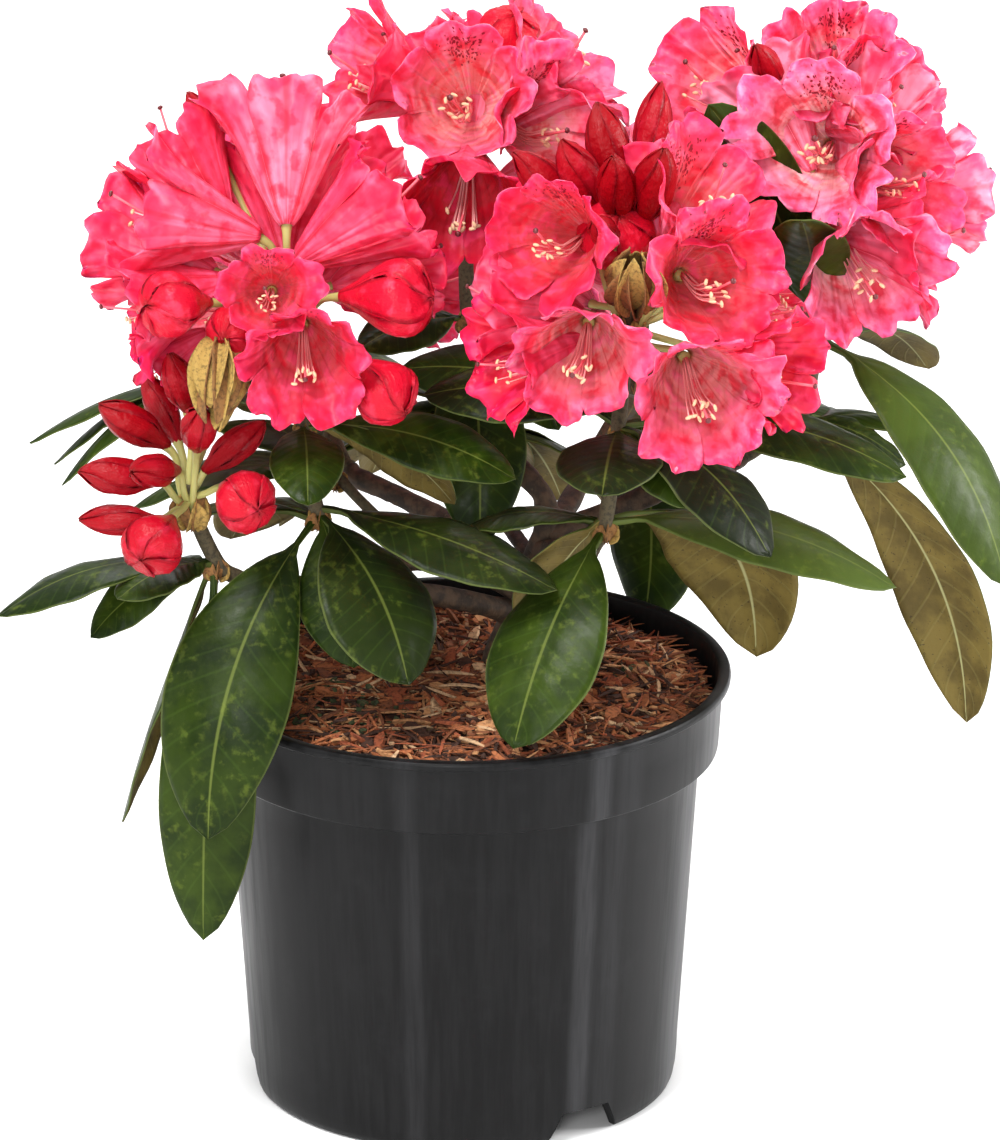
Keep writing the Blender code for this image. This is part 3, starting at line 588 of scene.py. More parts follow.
def strewChips():
    chance = np.random.default_rng(11)
    masters = [
        [modelChip(cuts, ragged, form) for form in forms] for cuts, ragged, forms in mulchShape["masters"]
    ]
    parts = []
    crowd, edge = mulchShape["crowd"], mulchShape["radius"]
    shares = [kind[0] for kind in mulchShape["kinds"]]
    moss = len(mulchShape["colours"])
    for index in range(crowd):
        which = chance.choice(len(shares), p=shares)
        places, faces = masters[which][chance.integers(len(masters[which]))]
        size = np.array([chance.uniform(*ends) for ends in mulchShape["kinds"][which][1:]]) / 2
        local = places * size
        if which == 0:  # fibres are bowed
            bow = 1 - places[:, 0] ** 2
            local[:, 2] += chance.uniform(*mulchShape["bow"]) * bow
            local[:, 1] += chance.uniform(*mulchShape["sideBow"]) * bow
        radius = edge * math.sqrt(chance.uniform(0, 1)) - mulchShape["wallGap"]
        around = chance.uniform(0, math.tau)
        radius = max(0, min(radius, edge - size[0] * 0.8 - 1))
        tilt = math.radians(chance.normal(0, mulchShape["tilts"][which]))
        spin = chance.uniform(0, math.tau)
        roll = math.radians(chance.normal(0, mulchShape["roll"]))
        tumble = Matrix.Rotation(spin, 3, "Z") @ Matrix.Rotation(tilt, 3, "Y")
        tumble = tumble @ Matrix.Rotation(roll, 3, "X")
        # later ones lie on top of the earlier, less so towards the pot's wall
        heap = mulchShape["heaped"] * index / crowd * (1 - 0.45 * (radius / 104) ** 2)
        level = moundHeight(radius) + 0.3 + heap
        centre = np.array([radius * math.cos(around), radius * math.sin(around), level])
        colour = chance.choice(moss, p=mulchShape["colourShares"])
        for x, y, reach in mulchShape["mossPlaces"]:
            away = math.hypot(centre[0] - x, centre[1] - y)
            if which == 2 and away < reach and chance.uniform() < mulchShape["mossShare"]:
                colour = moss
        places = local @ np.array(tumble).T + centre
        parts.append({"places": places * mm, "faces": faces, "finish": colour})
    return joinedMesh("mulchChips", parts, smooth=False)


chipPaints = [grainyMaterial(name, colour) for name, colour in mulchShape["colours"].items()]
chipPaints.append(grainyMaterial("mossCrumb", (0.045, 0.06, 0.02)))
soilPaint = chipPaints[list(mulchShape["colours"]).index("chipDark")]
finishPiece(modelMound(), "mulch_bed", "mulch", ["substrate"], [soilPaint])
finishPiece(strewChips(), "mulch_chips", "mulch", ["substrate"], chipPaints)
print("mulch strewn")


# Trunk and boughs, with the bark's relief; points and radii in mm

limbShape = {
    "trunk": ((18, 12, 178), (18, 12, 184), (20, 11.8, 194), (26, 11, 212), (32, 9.5, 230), (36, 8, 247)),
    "trunkRadii": (11.8, 9.4, 7.5, 6.7, 6.1, 5.2),
    "boughRadii": (4.8, 3.7),
    # the collar where a bough leaves the trunk and two old whorls, as steps along it and swellings
    "boughSwells": ((0, 1.25), (4, 1.12), (8, 1.14)),
    "stemRadii": (3.5, 3.0),
    "shootGirth": 0.7,
    "grain": (2.2, 0.9),  # how wide the bark's lumps are and how high
    "jointRun": 6,
    "rachis": 16,
}

# Boughs in mm, from the trunk's axis to a head's foot
boughs = {
    "bud_bough": ("bud_head", (23, 11.4, 203), (-8, -14, 220), (-50, -36, 232)),
    "side_bough": ("left_shoot", (25, 11, 210.5), (4, 12, 222), (-14, 12, 233)),
    "back_left_bough": ("back_left_head", (27, 10.8, 217), (0, 36, 230), (-26, 55, 239)),
    "left_bough": ("left_head", (29, 10.3, 221.5), (2, -8, 233), (-24, -22, 239)),
    "back_bough": ("back_shoot", (31, 9.8, 226), (20, 38, 231), (12, 64, 237)),
    "front_bough": ("front_head", (33, 9.3, 232.5), (43, -14, 240), (50, -29, 246)),
    "back_right_bough": ("back_right_head", (33, 9.3, 234), (42, 36, 239), (49, 60, 243)),
    "right_bough": ("right_head", (34.5, 8.7, 239.5), (64, 8, 251), (94, 7, 265)),
    "top_bough": ("top_head", (36, 8, 247), (32, 14, 257), (18, 25, 268)),
}

# A head is one shoot: its stem, one or two whorls of leaves and the truss of flowers at its tip.
# foot, whorls and hub are in mm. A leaf is (right, up, near) from its whorl to its tip as seen from
# the front, width, arch as a share of its length, and roll in degrees. A whorl's last entry spreads
# hidden leaves: (count, first azimuth, last azimuth, fall in degrees).
# A flower is its kind, (right, up, near) from the hub to its mouth, the azimuth and the elevation
# that it faces, and its size. The last entry spreads hidden flowers: (count, first, last azimuth).
heads = {
    "left_head": {
        "foot": (-44, -32, 244),
        "hub": (-72, -32, 352),
        "whorls": (
            {
                "at": (-60, -41, 268),
                "leaves": (
                    (-45, -136, 12, 53, 0.15, -30),
                    (38, -72, 26, 54, 0.13, 0),
                    (15, -65, 8, 38, 0.12, 20),
                    (99, -33, 34, 42, 0.06, 10),
                ),
                "hidden": (2, 95, 165, 25),
            },
            {
                "at": (-66, -38, 305),
                "leaves": (
                    (3, -34, 50, 31, 0.16, 0),
                    (88, -23, 12, 32, 0.10, 25),
                    (63, -33, -14, 28, 0.12, -50),
                ),
                "hidden": (2, 60, 120, 15),
            },
        ),
        "flowers": (
            ("open", 0, 86, 10, 90, 52, 1.15),
            ("open", -62, 42, 22, 176, 12, 1.12),
            ("open", 46, 48, 20, 12, 32, 1.1),
            ("open", -7, 5, 68, -92, 15, 0.72),
            ("open", 8, -25, 60, -88, -8, 0.92),
            ("half", -44, 2, 46, -140, 10, 0.85),
            ("half", 41, 5, 42, -18, 5, 1.0),
            ("half", 38, -31, 34, -45, -28, 0.85),
            ("open", -70, 28, -12, 150, 5, 1.0),
            ("open", -66, 0, 18, -172, -14, 0.95),
            ("open", -50, 74, -5, 140, 45, 1.0),
            ("open", -56, -25, 0, -160, -30, 0.64),
            ("bud", -34, 76, -12, 150, 60, 1.0),
            ("half", -20, -8, 38, -112, 0, 0.7),
            ("open", 56, 22, -6, 25, 8, 0.9),
            ("husk", -28, -28, 46, -100, -60, 1.0),
        ),
        "hidden": (3, 60, 130),
    },
    "top_head": {
        "foot": (9, 33, 276),
        "hub": (1, 50, 376),
        "whorls": (
            {
                "at": (2, 44, 325),
                "leaves": (
                    (-45, -15, 20, 30, 0.10, -20),
                    (5, -97, 20, 40, 0.12, 0),
                    (38, -49, 8, 34, 0.12, 15),
                ),
                "hidden": (4, 30, 150, 36),
            },
        ),
        "flowers": (
            ("open", -3, 39, 50, -96, 24, 1.12),
            ("open", -48, 54, 6, -165, 24, 1.05),
            ("open", -28, 60, -6, 140, 50, 0.92),
            ("half", 17, 63, 4, -60, 60, 0.8),
            ("open", 44, 60, 4, -5, 46, 1.1),
            ("open", -2, -13, 56, -95, -18, 1.08),
            ("open", 38, 27, 34, -58, 14, 1.0),
        ),
        "hidden": (5, 15, 165),
    },
    "front_head": {
        "foot": (54, -40, 252),
        "hub": (68, -60, 356),
        "whorls": (
            {
                "at": (59, -50, 266),
                "leaves": (
                    (-38, -93, 34, 50, 0.10, 0),
                    (-58, -2, -12, 30, 0.12, 0),
                    (120, -27, 5, 46, 0.10, 10),
                    (64, -56, -70, 58, 0.26, -30),
                    (-31, -49, -10, 36, 0.10, 75),
                ),
                "hidden": (0, 0, 0, 0),
            },
            {
                "at": (64, -55, 309),
                "leaves": (
                    (-7, -28, 55, 44, 0.12, 0),
                    (30, -33, 35, 32, 0.12, 0),
                    (62, -53, 35, 48, 0.16, -10),
                    (119, -20, -5, 40, 0.10, 12),
                    (-80, 14, -12, 34, 0.10, -28),
                    (-90, 25, -36, 34, 0.10, -28),
                ),
                "hidden": (1, 60, 100, 20),
            },
        ),
        "flowers": (
            ("open", -36, 33, 45, -115, 15, 1.0),
            ("open", -21, -19, 60, -96, -6, 1.0),
            ("open", 31, -34, 58, -80, -6, 1.05),
            ("open", 37, 16, 52, -70, 14, 1.05),
            ("open", 37, 56, 22, -50, 45, 1.0),
            ("open", -54, -17, 32, -150, -6, 0.9),
            ("open", -58, 11, 14, 176, 8, 0.85),
            ("open", 67, -22, 28, -34, -4, 0.98),
            ("open", 62, 6, 6, -8, 4, 0.9),
            ("bud", -19, 60, 6, -150, 62, 1.2),
            ("bud", -8, 72, -6, 150, 75, 1.2),
            ("bud", 10, 80, -12, 60, 70, 1.2),
            ("bud", -5, 55, 16, -100, 60, 1.2),
            ("bud", 10, 56, 12, -60, 65, 1.25),
            ("bud", -33, 58, 0, -170, 45, 1.2),
            ("bud", -10, 37, 28, -110, 35, 0.95),
            ("half", -6, 34, -4, -80, 52, 1.0),
            ("husk", 2, 16, 46, -90, 55, 1.0),
        ),
        "hidden": (4, 40, 150),
    },
    "right_head": {
        "foot": (118, 6, 276),
        "hub": (150, 15, 376),
        "whorls": (
            {
                "at": (141, 10, 292),
                "leaves": (
                    (71, -129, -45, 43, 0.12, -62),
                    (44, -21, -8, 27, 0.10, 10),
                ),
                "hidden": (2, 24, 88, 22),
            },
            {
                "at": (147, 12, 328),
                "leaves": (
                    (79, -106, 8, 45, 0.15, 12),
                    # these two lie over the petals, so they come further forward than in the solids
                    (-46, 92, 62, 34, 0.06, -108),
                    (-8, 44, 78, 32, 0.06, 180),
                ),
                "hidden": (3, 38, 112, 18),
            },
        ),
        "flowers": (
            ("open", -5, 31, 48, -100, 20, 1.15),
            ("open", 3, 67, 14, -95, 38, 1.0),
            ("open", -52, 60, -6, -140, 30, 1.05),
            ("bud", -24, 62, 22, -120, 50, 1.0),
            ("open", 26, 52, 18, -45, 32, 1.0),
            ("open", 35, 16, 37, -52, 10, 1.02),
            ("open", 47, -8, 16, -14, 0, 1.05),
            ("open", 18, -26, 42, -72, -16, 1.1),
        ),
        "hidden": (5, 10, 160),
    },
    "bud_head": {
        "foot": (-88, -48, 240),
        "hub": (-112, -57, 276),
        "whorls": (
            {
                "at": (-102, -52, 250),
                "leaves": (
                    (-90, -23, 5, 38, 0.12, 0),
                    (-40, -16, 26, 32, 0.12, 0),
                    (-52, -32, -5, 22, 0.10, -40),
                    (-6, -158, -32, 42, 0.08, 0),
                    (-40, -109, -42, 34, 0.02, 8),
                ),
                "hidden": (1, 130, 130, 30),
            },
        ),
        "flowers": (
            ("bud", -4, 50, 24, -120, 65, 1.0),
            ("bud", 4, 31, 34, -85, 50, 1.0),
            ("bud", -23, 33, 10, -170, 35, 1.05),
            ("bud", -12, 40, -6, 150, 60, 1.0),
            ("bud", -29, 12, 15, -165, 12, 1.05),
            ("bud", -14, 14, 30, -125, 15, 1.0),
            ("bud", -29, -6, 10, 178, 0, 1.0),
            ("half", -13, -14, 32, -112, -14, 0.8),
            ("half", 21, 3, 26, -62, 0, 0.8),
            ("bud", 18, 24, 4, 0, 40, 1.0),
            ("bud", 6, 44, -10, 90, 60, 1.0),
        ),
        "hidden": (0, 0, 0),
    },
    "left_shoot": {
        "foot": (-34, 14, 244),
        "hub": (-60, 27, 274),
        "whorls": ({"at": (-54, 24, 262), "leaves": (), "hidden": (6, 105, 262, 12)},),
        "flowers": (),
        "hidden": (0, 0, 0),
    },
    "back_left_head": {
        "foot": (-48, 70, 247),
        "hub": (-72, 112, 313),
        "whorls": (
            {
                "at": (-66, 100, 276),
                "leaves": (
                    (-118, -27, 4, 30, 0.12, 12),
                    (-108, -36, -8, 28, 0.16, 12),
                    (-104, -45, 14, 26, 0.18, 12),
                ),
                "hidden": (6, 20, 175, 16),
            },
        ),
        "flowers": (),
        "hidden": (10, 0, 360),
    },
    "back_right_head": {
        "foot": (54, 78, 247),
        "hub": (77, 118, 309),
        "whorls": (
            {
                "at": (72, 108, 273),
                "leaves": ((5, -103, -30, 42, 0.10, 55),),
                "hidden": (6, -5, 150, 18),
            },
        ),
        "flowers": (),
        "hidden": (10, 0, 360),
    },
    "back_shoot": {
        "foot": (6, 84, 243),
        "hub": (1, 116, 268),
        "whorls": ({"at": (3, 106, 256), "leaves": (), "hidden": (8, 5, 175, 34)},),
        "flowers": (),
        "hidden": (0, 0, 0),
    },
}

# what the hidden leaves and flowers of each head are dealt out by
seeds = {
    "left_head": 0,
    "top_head": 65,
    "front_head": 2,
    "right_head": 10,
    "bud_head": 4,
    "left_shoot": 5,
    "back_left_head": 36,
    "back_right_head": 41,
    "back_shoot": 8,
}


def vector(point):
    return np.array(point, float)


def seen(right, up, near):
    # a step in mm as seen from the front, turned into the plant's own frame
    back = up * math.sin(sight) - near * math.cos(sight)
    return vector((right, back, up * math.cos(sight) + near * math.sin(sight)))


def direction(azimuth, elevation):
    turn, rise = math.radians(azimuth), math.radians(elevation)
    return vector((math.cos(turn) * math.cos(rise), math.sin(turn) * math.cos(rise), math.sin(rise)))


def headGirth(name):
    head = heads[name]
    return 1 if head["flowers"] or head["hidden"][0] else limbShape["shootGirth"]


def jointLine(bough):
    head = heads[bough[0]]
    along = unit(vector(head["whorls"][0]["at"]) - vector(bough[-1]))
    return vector(head["foot"]), along


def barkRelief(chance, ridges, depth):
    # long ridges that wander round the limb, as factors of its radius
    turns = chance.uniform(0, math.tau, 4)

    def relief(turn, share):
        wander = turn + 0.9 * np.sin(5 * share + turns[0])
        coarse = np.sin(ridges * wander + turns[1]) * 0.6
        fine = np.sin((ridges + 4) * wander + turns[2] + 7 * share) * 0.4
        knobs = np.sin(23 * share + 2 * turn + turns[3])
        return 1 + depth * (coarse + fine) + 0.5 * depth * knobs

    return relief


def modelLimbs():
    chance = np.random.default_rng(5)
    trunkPipe, boughPipe = modelPipe(28, 60), modelPipe(18, 44)
    parts = []

    def add(pipe, path, radii, relief):
        places = bentPipe(pipe, path, radii, relief)
        parts.append({"places": places * mm, "faces": pipe["faces"], "finish": 0})

    ridge = barkRelief(chance, 5, 0.055)

    def trunkRelief(turn, share):
        flare = 1 + 0.12 * np.cos(3 * turn + 0.6) * np.exp(-((share / 0.12) ** 2))
        ringed = np.exp(-(((share * 9) % 1 - 0.5) ** 2) / 0.01)
        scars = 1 + 0.05 * ringed * np.sin(turn * 2 + share * 40)
        return ridge(turn, share) * flare * scars

    add(trunkPipe, limbShape["trunk"], limbShape["trunkRadii"], trunkRelief)
    for name, bough in boughs.items():
        foot, along = jointLine(bough)
        points = [vector(point) for point in bough[1:]] + [foot - along * limbShape["jointRun"], foot]
        girth = headGirth(bough[0])
        radii = np.linspace(*limbShape["boughRadii"], 12) * girth
        for step, swelling in limbShape["boughSwells"]:
            radii[step] *= swelling
        add(boughPipe, points, radii, barkRelief(chance, 4, 0.05))
    limbs = joinedMesh("limbs_bark", parts)
    wide, high = limbShape["grain"]
    grain = bpy.data.textures.new("barkGrain", "CLOUDS")
    grain.noise_scale = wide * mm
    applyModifier(limbs, "DISPLACE", texture=grain, strength=high * mm, mid_level=0.5)
    return limbs


barkPaint, paint, shader = newMaterial("barkPaint", Roughness=0.75)
place = paint.objectPlace()
tone = blotches(paint, place, (0.075, 0.042, 0.022), (0.026, 0.015, 0.008), 210.0)
lichen = paint.spread(paint.noise(place, 420.0, 4.0), 0.62, 0.76, 0.0, 0.5)
paint.feed(shader.inputs["Base Color"], paint.mix(lichen, tone, (0.13, 0.095, 0.05)))
fissures = paint.noise(paint.objectPlace((1, 1, 0.25)), 900.0, 4.0)
paint.feed(shader.inputs["Normal"], paint.bump(fissures, 0.6, 0.6))

finishPiece(modelLimbs(), "limbs_bark_relief", "bark", ["trunk", *boughs], [barkPaint])
print("trunk and boughs modelled")


# Leaves: a flat blade with its thickness, bent along its midrib and dressed with veins

leafShape = {
    "columns": 14,
    "rows": 30,
    # the stalk's share of the length, then half widths, half thicknesses and depths in mm
    "petioleShare": 0.12,
    "petioleHalf": 1.5,
    "petioleThick": 1.15,
    "bladeThick": 0.26,
    "midribDepth": 0.75,
    "grooveDepth": 0.55,
    "ripple": 0.9,
    "hood": 0.10,
    # what the hidden leaves are drawn from, in mm and degrees
    "hiddenLength": (84, 108),
    "hiddenWidth": (34, 42),
    "hiddenArch": 0.14,
    "sway": 6,
    "droop": 8,
    "roll": 15,
    "step": 1.2,
}


def modelBlade(columns, rows):
    deselectAll()
    bpy.ops.mesh.primitive_grid_add(
        x_subdivisions=columns, y_subdivisions=rows, size=2, location=(0, 0, 0)
    )
    piece = bpy.context.object
    applyModifier(piece, "SOLIDIFY", thickness=0.2, offset=0)
    places, faces = readMaster(piece)
    upper = places[:, 2] > 0
    tops = upper[faces].all(axis=1)
    unders = (~upper[faces]).all(axis=1)
    rims = ~(tops | unders)
    # the rim's corners are drawn out a little, so that it has an area of its own on the map
    draw = 1.05
    spot = places[faces][:, :, :2]
    drawn = rims[:, None] & upper[faces]
    spot = np.where(drawn[:, :, None], spot * draw, spot)
    return {
        "across": places[:, 0],
        "along": (places[:, 1] + 1) / 2,
        "layer": np.where(upper, 1.0, -1.0),
        "faces": faces,
        "tops": tops,
        "unders": unders,
        "spot": (spot / draw + 1) / 2,
    }


def bladeOutline(share):
    return np.sin(math.pi * np.clip(share, 0, 1) ** 1.13) ** 0.6


def bentBlade(blade, root, crown, tip, side, half, roll, cup, chance, ripple, thick=None):
    # lays the blade along a curve from root to tip that bends towards crown: t runs along it from
    # 0 to 1, x across it from -1 to 1, and half gives its half width
    t, x, layer = blade["along"], blade["across"], blade["layer"]
    s = t[:, None]
    middle = root * (1 - s) ** 2 + crown * 2 * s * (1 - s) + tip * s**2
    ahead = unit((crown - root) * (1 - s) + (tip - crown) * s)
    across = unit(np.broadcast_to(side, ahead.shape) - ahead * (ahead @ side)[:, None])
    normal = np.cross(ahead, across)
    turn = np.radians(roll + chance.uniform(-5, 5) * t)[:, None]
    cos, sin = np.cos(turn), np.sin(turn)
    across, normal = across * cos + normal * sin, normal * cos - across * sin
    width = half(t)
    isBlade = width > 3
    phases = chance.uniform(0, math.tau, 3)
    edge, hand = np.abs(x), np.sign(x)
    rise = -cup * 2 * width * x**2
    wave = np.sin(9 * t + phases[0] + 1.5 * hand)
    rise += ripple * edge**2 * wave * np.sin(math.pi * t) ** 0.5
    rise += 0.35 * ripple * edge**3 * np.sin(31 * t + phases[1] * hand)
    rise -= leafShape["grooveDepth"] * np.exp(-((x / 0.11) ** 2)) * isBlade
    sway = 0.012 * np.linalg.norm(tip - root) * np.sin(math.pi * t) * math.sin(phases[2])
    body = thick(t) if thick else np.full_like(t, 0.3)
    keel = leafShape["midribDepth"] * np.exp(-((x / 0.1) ** 2)) * (1 - t) ** 0.6 * isBlade
    body = body + (layer < 0) * keel
    return middle + across * (x * width + sway)[:, None] + normal * (rise + layer * body)[:, None]


def leafPart(blade, root, tip, width, arch, roll, shade, tile, seed):
    chance = np.random.default_rng(seed)
    chord = tip - root
    level = unit(vector((chord[0], chord[1], 0)))
    side = np.cross((0, 0, 1), level)
    top = np.cross(unit(chord), side)
    crown = (root + tip) / 2 + top * 2 * arch * np.linalg.norm(chord)
    petiole = leafShape["petioleShare"]

    def half(t):
        share = (t - petiole) / (1 - petiole)
        stalk = leafShape["petioleHalf"] * np.clip(1 - t * 1.2, 0.12, 1)
        return np.maximum(width / 2 * bladeOutline(share) * (t > petiole), stalk * (t < 0.995))

    def thick(t):
        share = np.clip((t - 0.06) / 0.2, 0, 1)
        return leafShape["petioleThick"] * (1 - share) + leafShape["bladeThick"] * share

    hood, ripple = leafShape["hood"], leafShape["ripple"]
    places = bentBlade(blade, root, crown, tip, side, half, roll, hood, chance, ripple, thick)
    return {
        "places": places * mm,
        "faces": blade["faces"],
        "finish": np.where(blade["unders"], 1, 0),
        "across": blade["across"],
        "along": blade["along"],
        "shade": shade,
        "map": mapOnTiles(blade["spot"], blade["tops"], *tile),
    }


leafTop, paint, shader = newMaterial("leafTop", Roughness=0.4, Specular_IOR_Level=0.1)
across, veins = leafVeins(paint)
shade = paint.attribute("shade")
place = paint.objectPlace()
tone = blotches(paint, place, (0.023, 0.042, 0.003), (0.0085, 0.019, 0.0018), 48.0)
green = paint.mix(shade, tone, (0.01, 0.014, 0.006))
green = paint.mix(paint.spread(shade, 0.0, -1.0), green, (0.13, 0.18, 0.04))
speck = paint.spread(paint.noise(place, 240.0, 4.0), 0.5, 0.74, 0.0, 0.45)
patchy = paint.math("MULTIPLY", speck, paint.spread(paint.noise(place, 40.0, 2.0), 0.4, 0.6))
green = paint.mix(patchy, green, (0.12, 0.16, 0.02))
green = paint.mix(paint.math("MULTIPLY", veins["Side veins"], 0.13), green, (0.06, 0.11, 0.015))
green = paint.mix(paint.math("MULTIPLY", veins["Midrib"], 0.5), green, (0.16, 0.2, 0.04))
edge = paint.spread(paint.math("ABSOLUTE", across), 0.96, 0.99, 0.0, 0.5)
paint.feed(shader.inputs["Base Color"], paint.mix(edge, green, (0.13, 0.16, 0.045)))
grain = paint.noise(place, 230.0, 3.0)
height = paint.math("ADD", paint.math("MULTIPLY", veins["Quilt"], -0.5), grain)
paint.feed(shader.inputs["Normal"], paint.bump(height, 0.34, 0.5))
sheen = paint.spread(paint.noise(place, 120.0, 3.0), 0.3, 0.7, 0.3, 0.46)
paint.feed(shader.inputs["Roughness"], sheen)

leafUnder, paint, shader = newMaterial("leafUnder", Roughness=0.68, Specular_IOR_Level=0.25)
_, veins = leafVeins(paint)
place = paint.objectPlace()
tone = blotches(paint, place, (0.165, 0.12, 0.028), (0.092, 0.065, 0.015), 60.0)
olive = paint.mix(paint.math("MULTIPLY", veins["Side veins"], 0.3), tone, (0.2, 0.165, 0.05))
dots = paint.spread(paint.noise(place, 800.0, 1.0), 0.68, 0.74, 0.0, 0.7)
olive = paint.mix(dots, olive, (0.03, 0.02, 0.01))
paint.feed(shader.inputs["Base Color"], paint.mix(veins["Midrib"], olive, (0.34, 0.33, 0.15)))
felt = paint.noise(place, 500.0, 3.0)
height = paint.math("ADD", paint.math("MULTIPLY", veins["Side veins"], -0.8), felt)
paint.feed(shader.inputs["Normal"], paint.bump(height, 0.4, 0.5))


# Flowers: a tube of two skins whose rim is drawn out into five lobes

flowerShape = {
    # an open flower, as radius and height in mm up its outside
    "profile": (
        (2.2, 0), (5.2, 4), (8.8, 11), (12.6, 19), (16.4, 27.5),
        (20.2, 35), (24.0, 41), (27.6, 45.4), (30.8, 48.2),
    ),
    "length": 47,
    "radius": 28,
    # a closed flower's girth on its way to the tip, as shares of its length and widest radius
    "spindles": {
        "half": (
            (0, 0.15), (0.16, 0.34), (0.36, 0.68), (0.56, 0.95),
            (0.72, 1.0), (0.86, 0.78), (0.95, 0.4), (1, 0.03),
        ),
        "bud": (
            (0, 0.26), (0.16, 0.52), (0.34, 0.93), (0.5, 1.0),
            (0.66, 0.93), (0.82, 0.66), (0.94, 0.3), (1, 0.1),
        ),
    },
    # length and widest radius in mm
    "closed": {"half": (40, 16), "bud": (33, 7.5), "husk": (30, 9)},
    # sinus is how far up the flower the lobes part, as a share of its profile; widen and round shape
    # a lobe, calm is what is left of its waves, lap how far it lies over its neighbour
    "kinds": {
        "open": {"sinus": 0.48, "widen": 0.34, "round": 2.5},
        "half": {"sinus": 0.46, "widen": 0.9, "round": 2.6, "calm": 0.42, "lap": 1.0},
        "bud": {"sinus": 0.34, "widen": 0.9, "round": 2.6, "calm": 0.12, "lap": 0.6},
    },
    # what each lobe of a flower draws its own from
    "lobes": {
        "long": (0.87, 1.07),
        "flare": (-6, 3.5),
        "wave": (1.7, 3.6),
        "waves": (1.3, 2.7),
        "fold": (-2.4, 1.6),
    },
    "pedicelRadii": (2.0, 1.7, 1.55, 1.5, 1.5, 1.5, 1.5, 1.55, 1.6, 1.75, 2.2),
    "pedicelSink": 3,
    "hiddenReach": 68,
    "hiddenRises": (4, 52, 28),
    "riseStray": 5,
    "turnStray": 12,
    "hiddenSizes": (0.95, 1.08),
    # scales at a withered bud, at the foot of a truss and under a whorl: length, girth, count, spread
    "bracts": {"husk": (34, 8, 9, 0.5), "truss": (15, 5, 8, 1.0), "whorl": (9, 3.6, 5, 0.8)},
}

# in mm; its parts' finishes count up stamenPaints
stamenShape = {
    "count": 10,
    "spread": (2.5, 6.8),
    "length": (34, 48),
    "radii": (0.45, 0.38, 0.32),
    "anther": (0.8, 0.8, 1.6),
    "styleLength": 57,
    "styleRadii": (0.75, 0.6, 0.6),
    "stigma": (1.35, 1.35, 0.9),
    "speckles": 120,
    "speckleRadii": (0.3, 0.66),
}


def modelFunnel(marks, rows):
    # an open cylinder of two skins; marks are the columns of one lobe, from its middle to its edge
    columns = sorted({round(side * mark, 4) for mark in marks for side in (-1, 1)} - {1.0})
    deselectAll()
    bpy.ops.mesh.primitive_cylinder_add(
        vertices=5 * len(columns), radius=1, depth=2, end_fill_type="NOTHING", location=(0, 0, 0)
    )
    piece = bpy.context.object
    edit(piece)
    select(piece, "edges", lambda ends: abs(ends[0].z - ends[1].z) > 1)
    bpy.ops.mesh.subdivide(number_cuts=rows - 2)
    bpy.ops.object.mode_set(mode="OBJECT")
    applyModifier(piece, "SOLIDIFY", thickness=0.2, offset=0)
    places, faces = readMaster(piece)
    count = 5 * len(columns)
    step = np.rint(np.arctan2(places[:, 1], places[:, 0]) / math.tau * count).astype(int) % count
    outer = np.hypot(places[:, 0], places[:, 1]) > 1
    row = np.rint((places[:, 2] + 1) / 2 * (rows - 1)).astype(int)
    # column 0 is a lobe's edge, so the turn runs from -0.5 to 4.5 lobes
    turn = step // len(columns) + np.array(columns)[step % len(columns)] / 2
    share = row / (rows - 1)
    inside = (~outer)[faces].all(axis=1)
    outside = outer[faces].all(axis=1)
    rim = ~(inside | outside)
    turns = turn[faces]
    turns = np.where(turns < turns.max(axis=1, keepdims=True) - 2.5, turns + 5, turns)
    # the rim's corners are drawn out here too
    draw = 1.06
    shares = share[faces]
    drawn = rim[:, None] & outer[faces]
    shares = np.where(drawn, (shares - 0.5) * draw + 0.5, shares)
    spot = np.stack([(turns + 0.5) / 5.0, (shares - 0.5) / draw + 0.5], axis=2)
    return {
        "turn": turn,
        "share": share,
        "layer": np.where(outer, 1.0, -1.0),
        "faces": faces,
        "inside": inside,
        "spot": spot,
    }


def flowerForm(kind, chance):
    # what makes each flower its own: how its lobes flare, wave and lap over each other
    form = {key: chance.uniform(*ends, 5) for key, ends in flowerShape["lobes"].items()}
    form["phase"] = chance.uniform(0, math.tau, (3, 5))
    form["lap"] = chance.choice((-1, 1)) * chance.uniform(0.9, 1.5)
    form["long"][0] *= 1.03
    form["thick"] = 0.2
    own = flowerShape["kinds"][kind]
    for key in ("sinus", "widen", "round"):
        form[key] = own[key]
    if kind == "open":
        points = [(radius, height, 0) for radius, height in flowerShape["profile"]]
        form["frill"], form["twist"] = 1.0, 0.0
    else:
        length, girth = flowerShape["closed"][kind]
        girth *= 1 if kind == "half" else chance.uniform(0.76, 0.96)
        points = [(wide * girth, up * length, 0) for up, wide in flowerShape["spindles"][kind]]
        form["long"], form["frill"] = chance.uniform(1.0, 1.06, 5), 0.1
        form["wave"] *= own["calm"]
        form["flare"] *= own["calm"] / 2
        form["fold"] *= 0
        form["lap"] *= own["lap"]
        form["twist"] = chance.uniform(0.2, 0.7) * (1 if form["lap"] > 0 else -1)
    form["profile"] = smoothPath(points, 60)[:, :2]
    return form


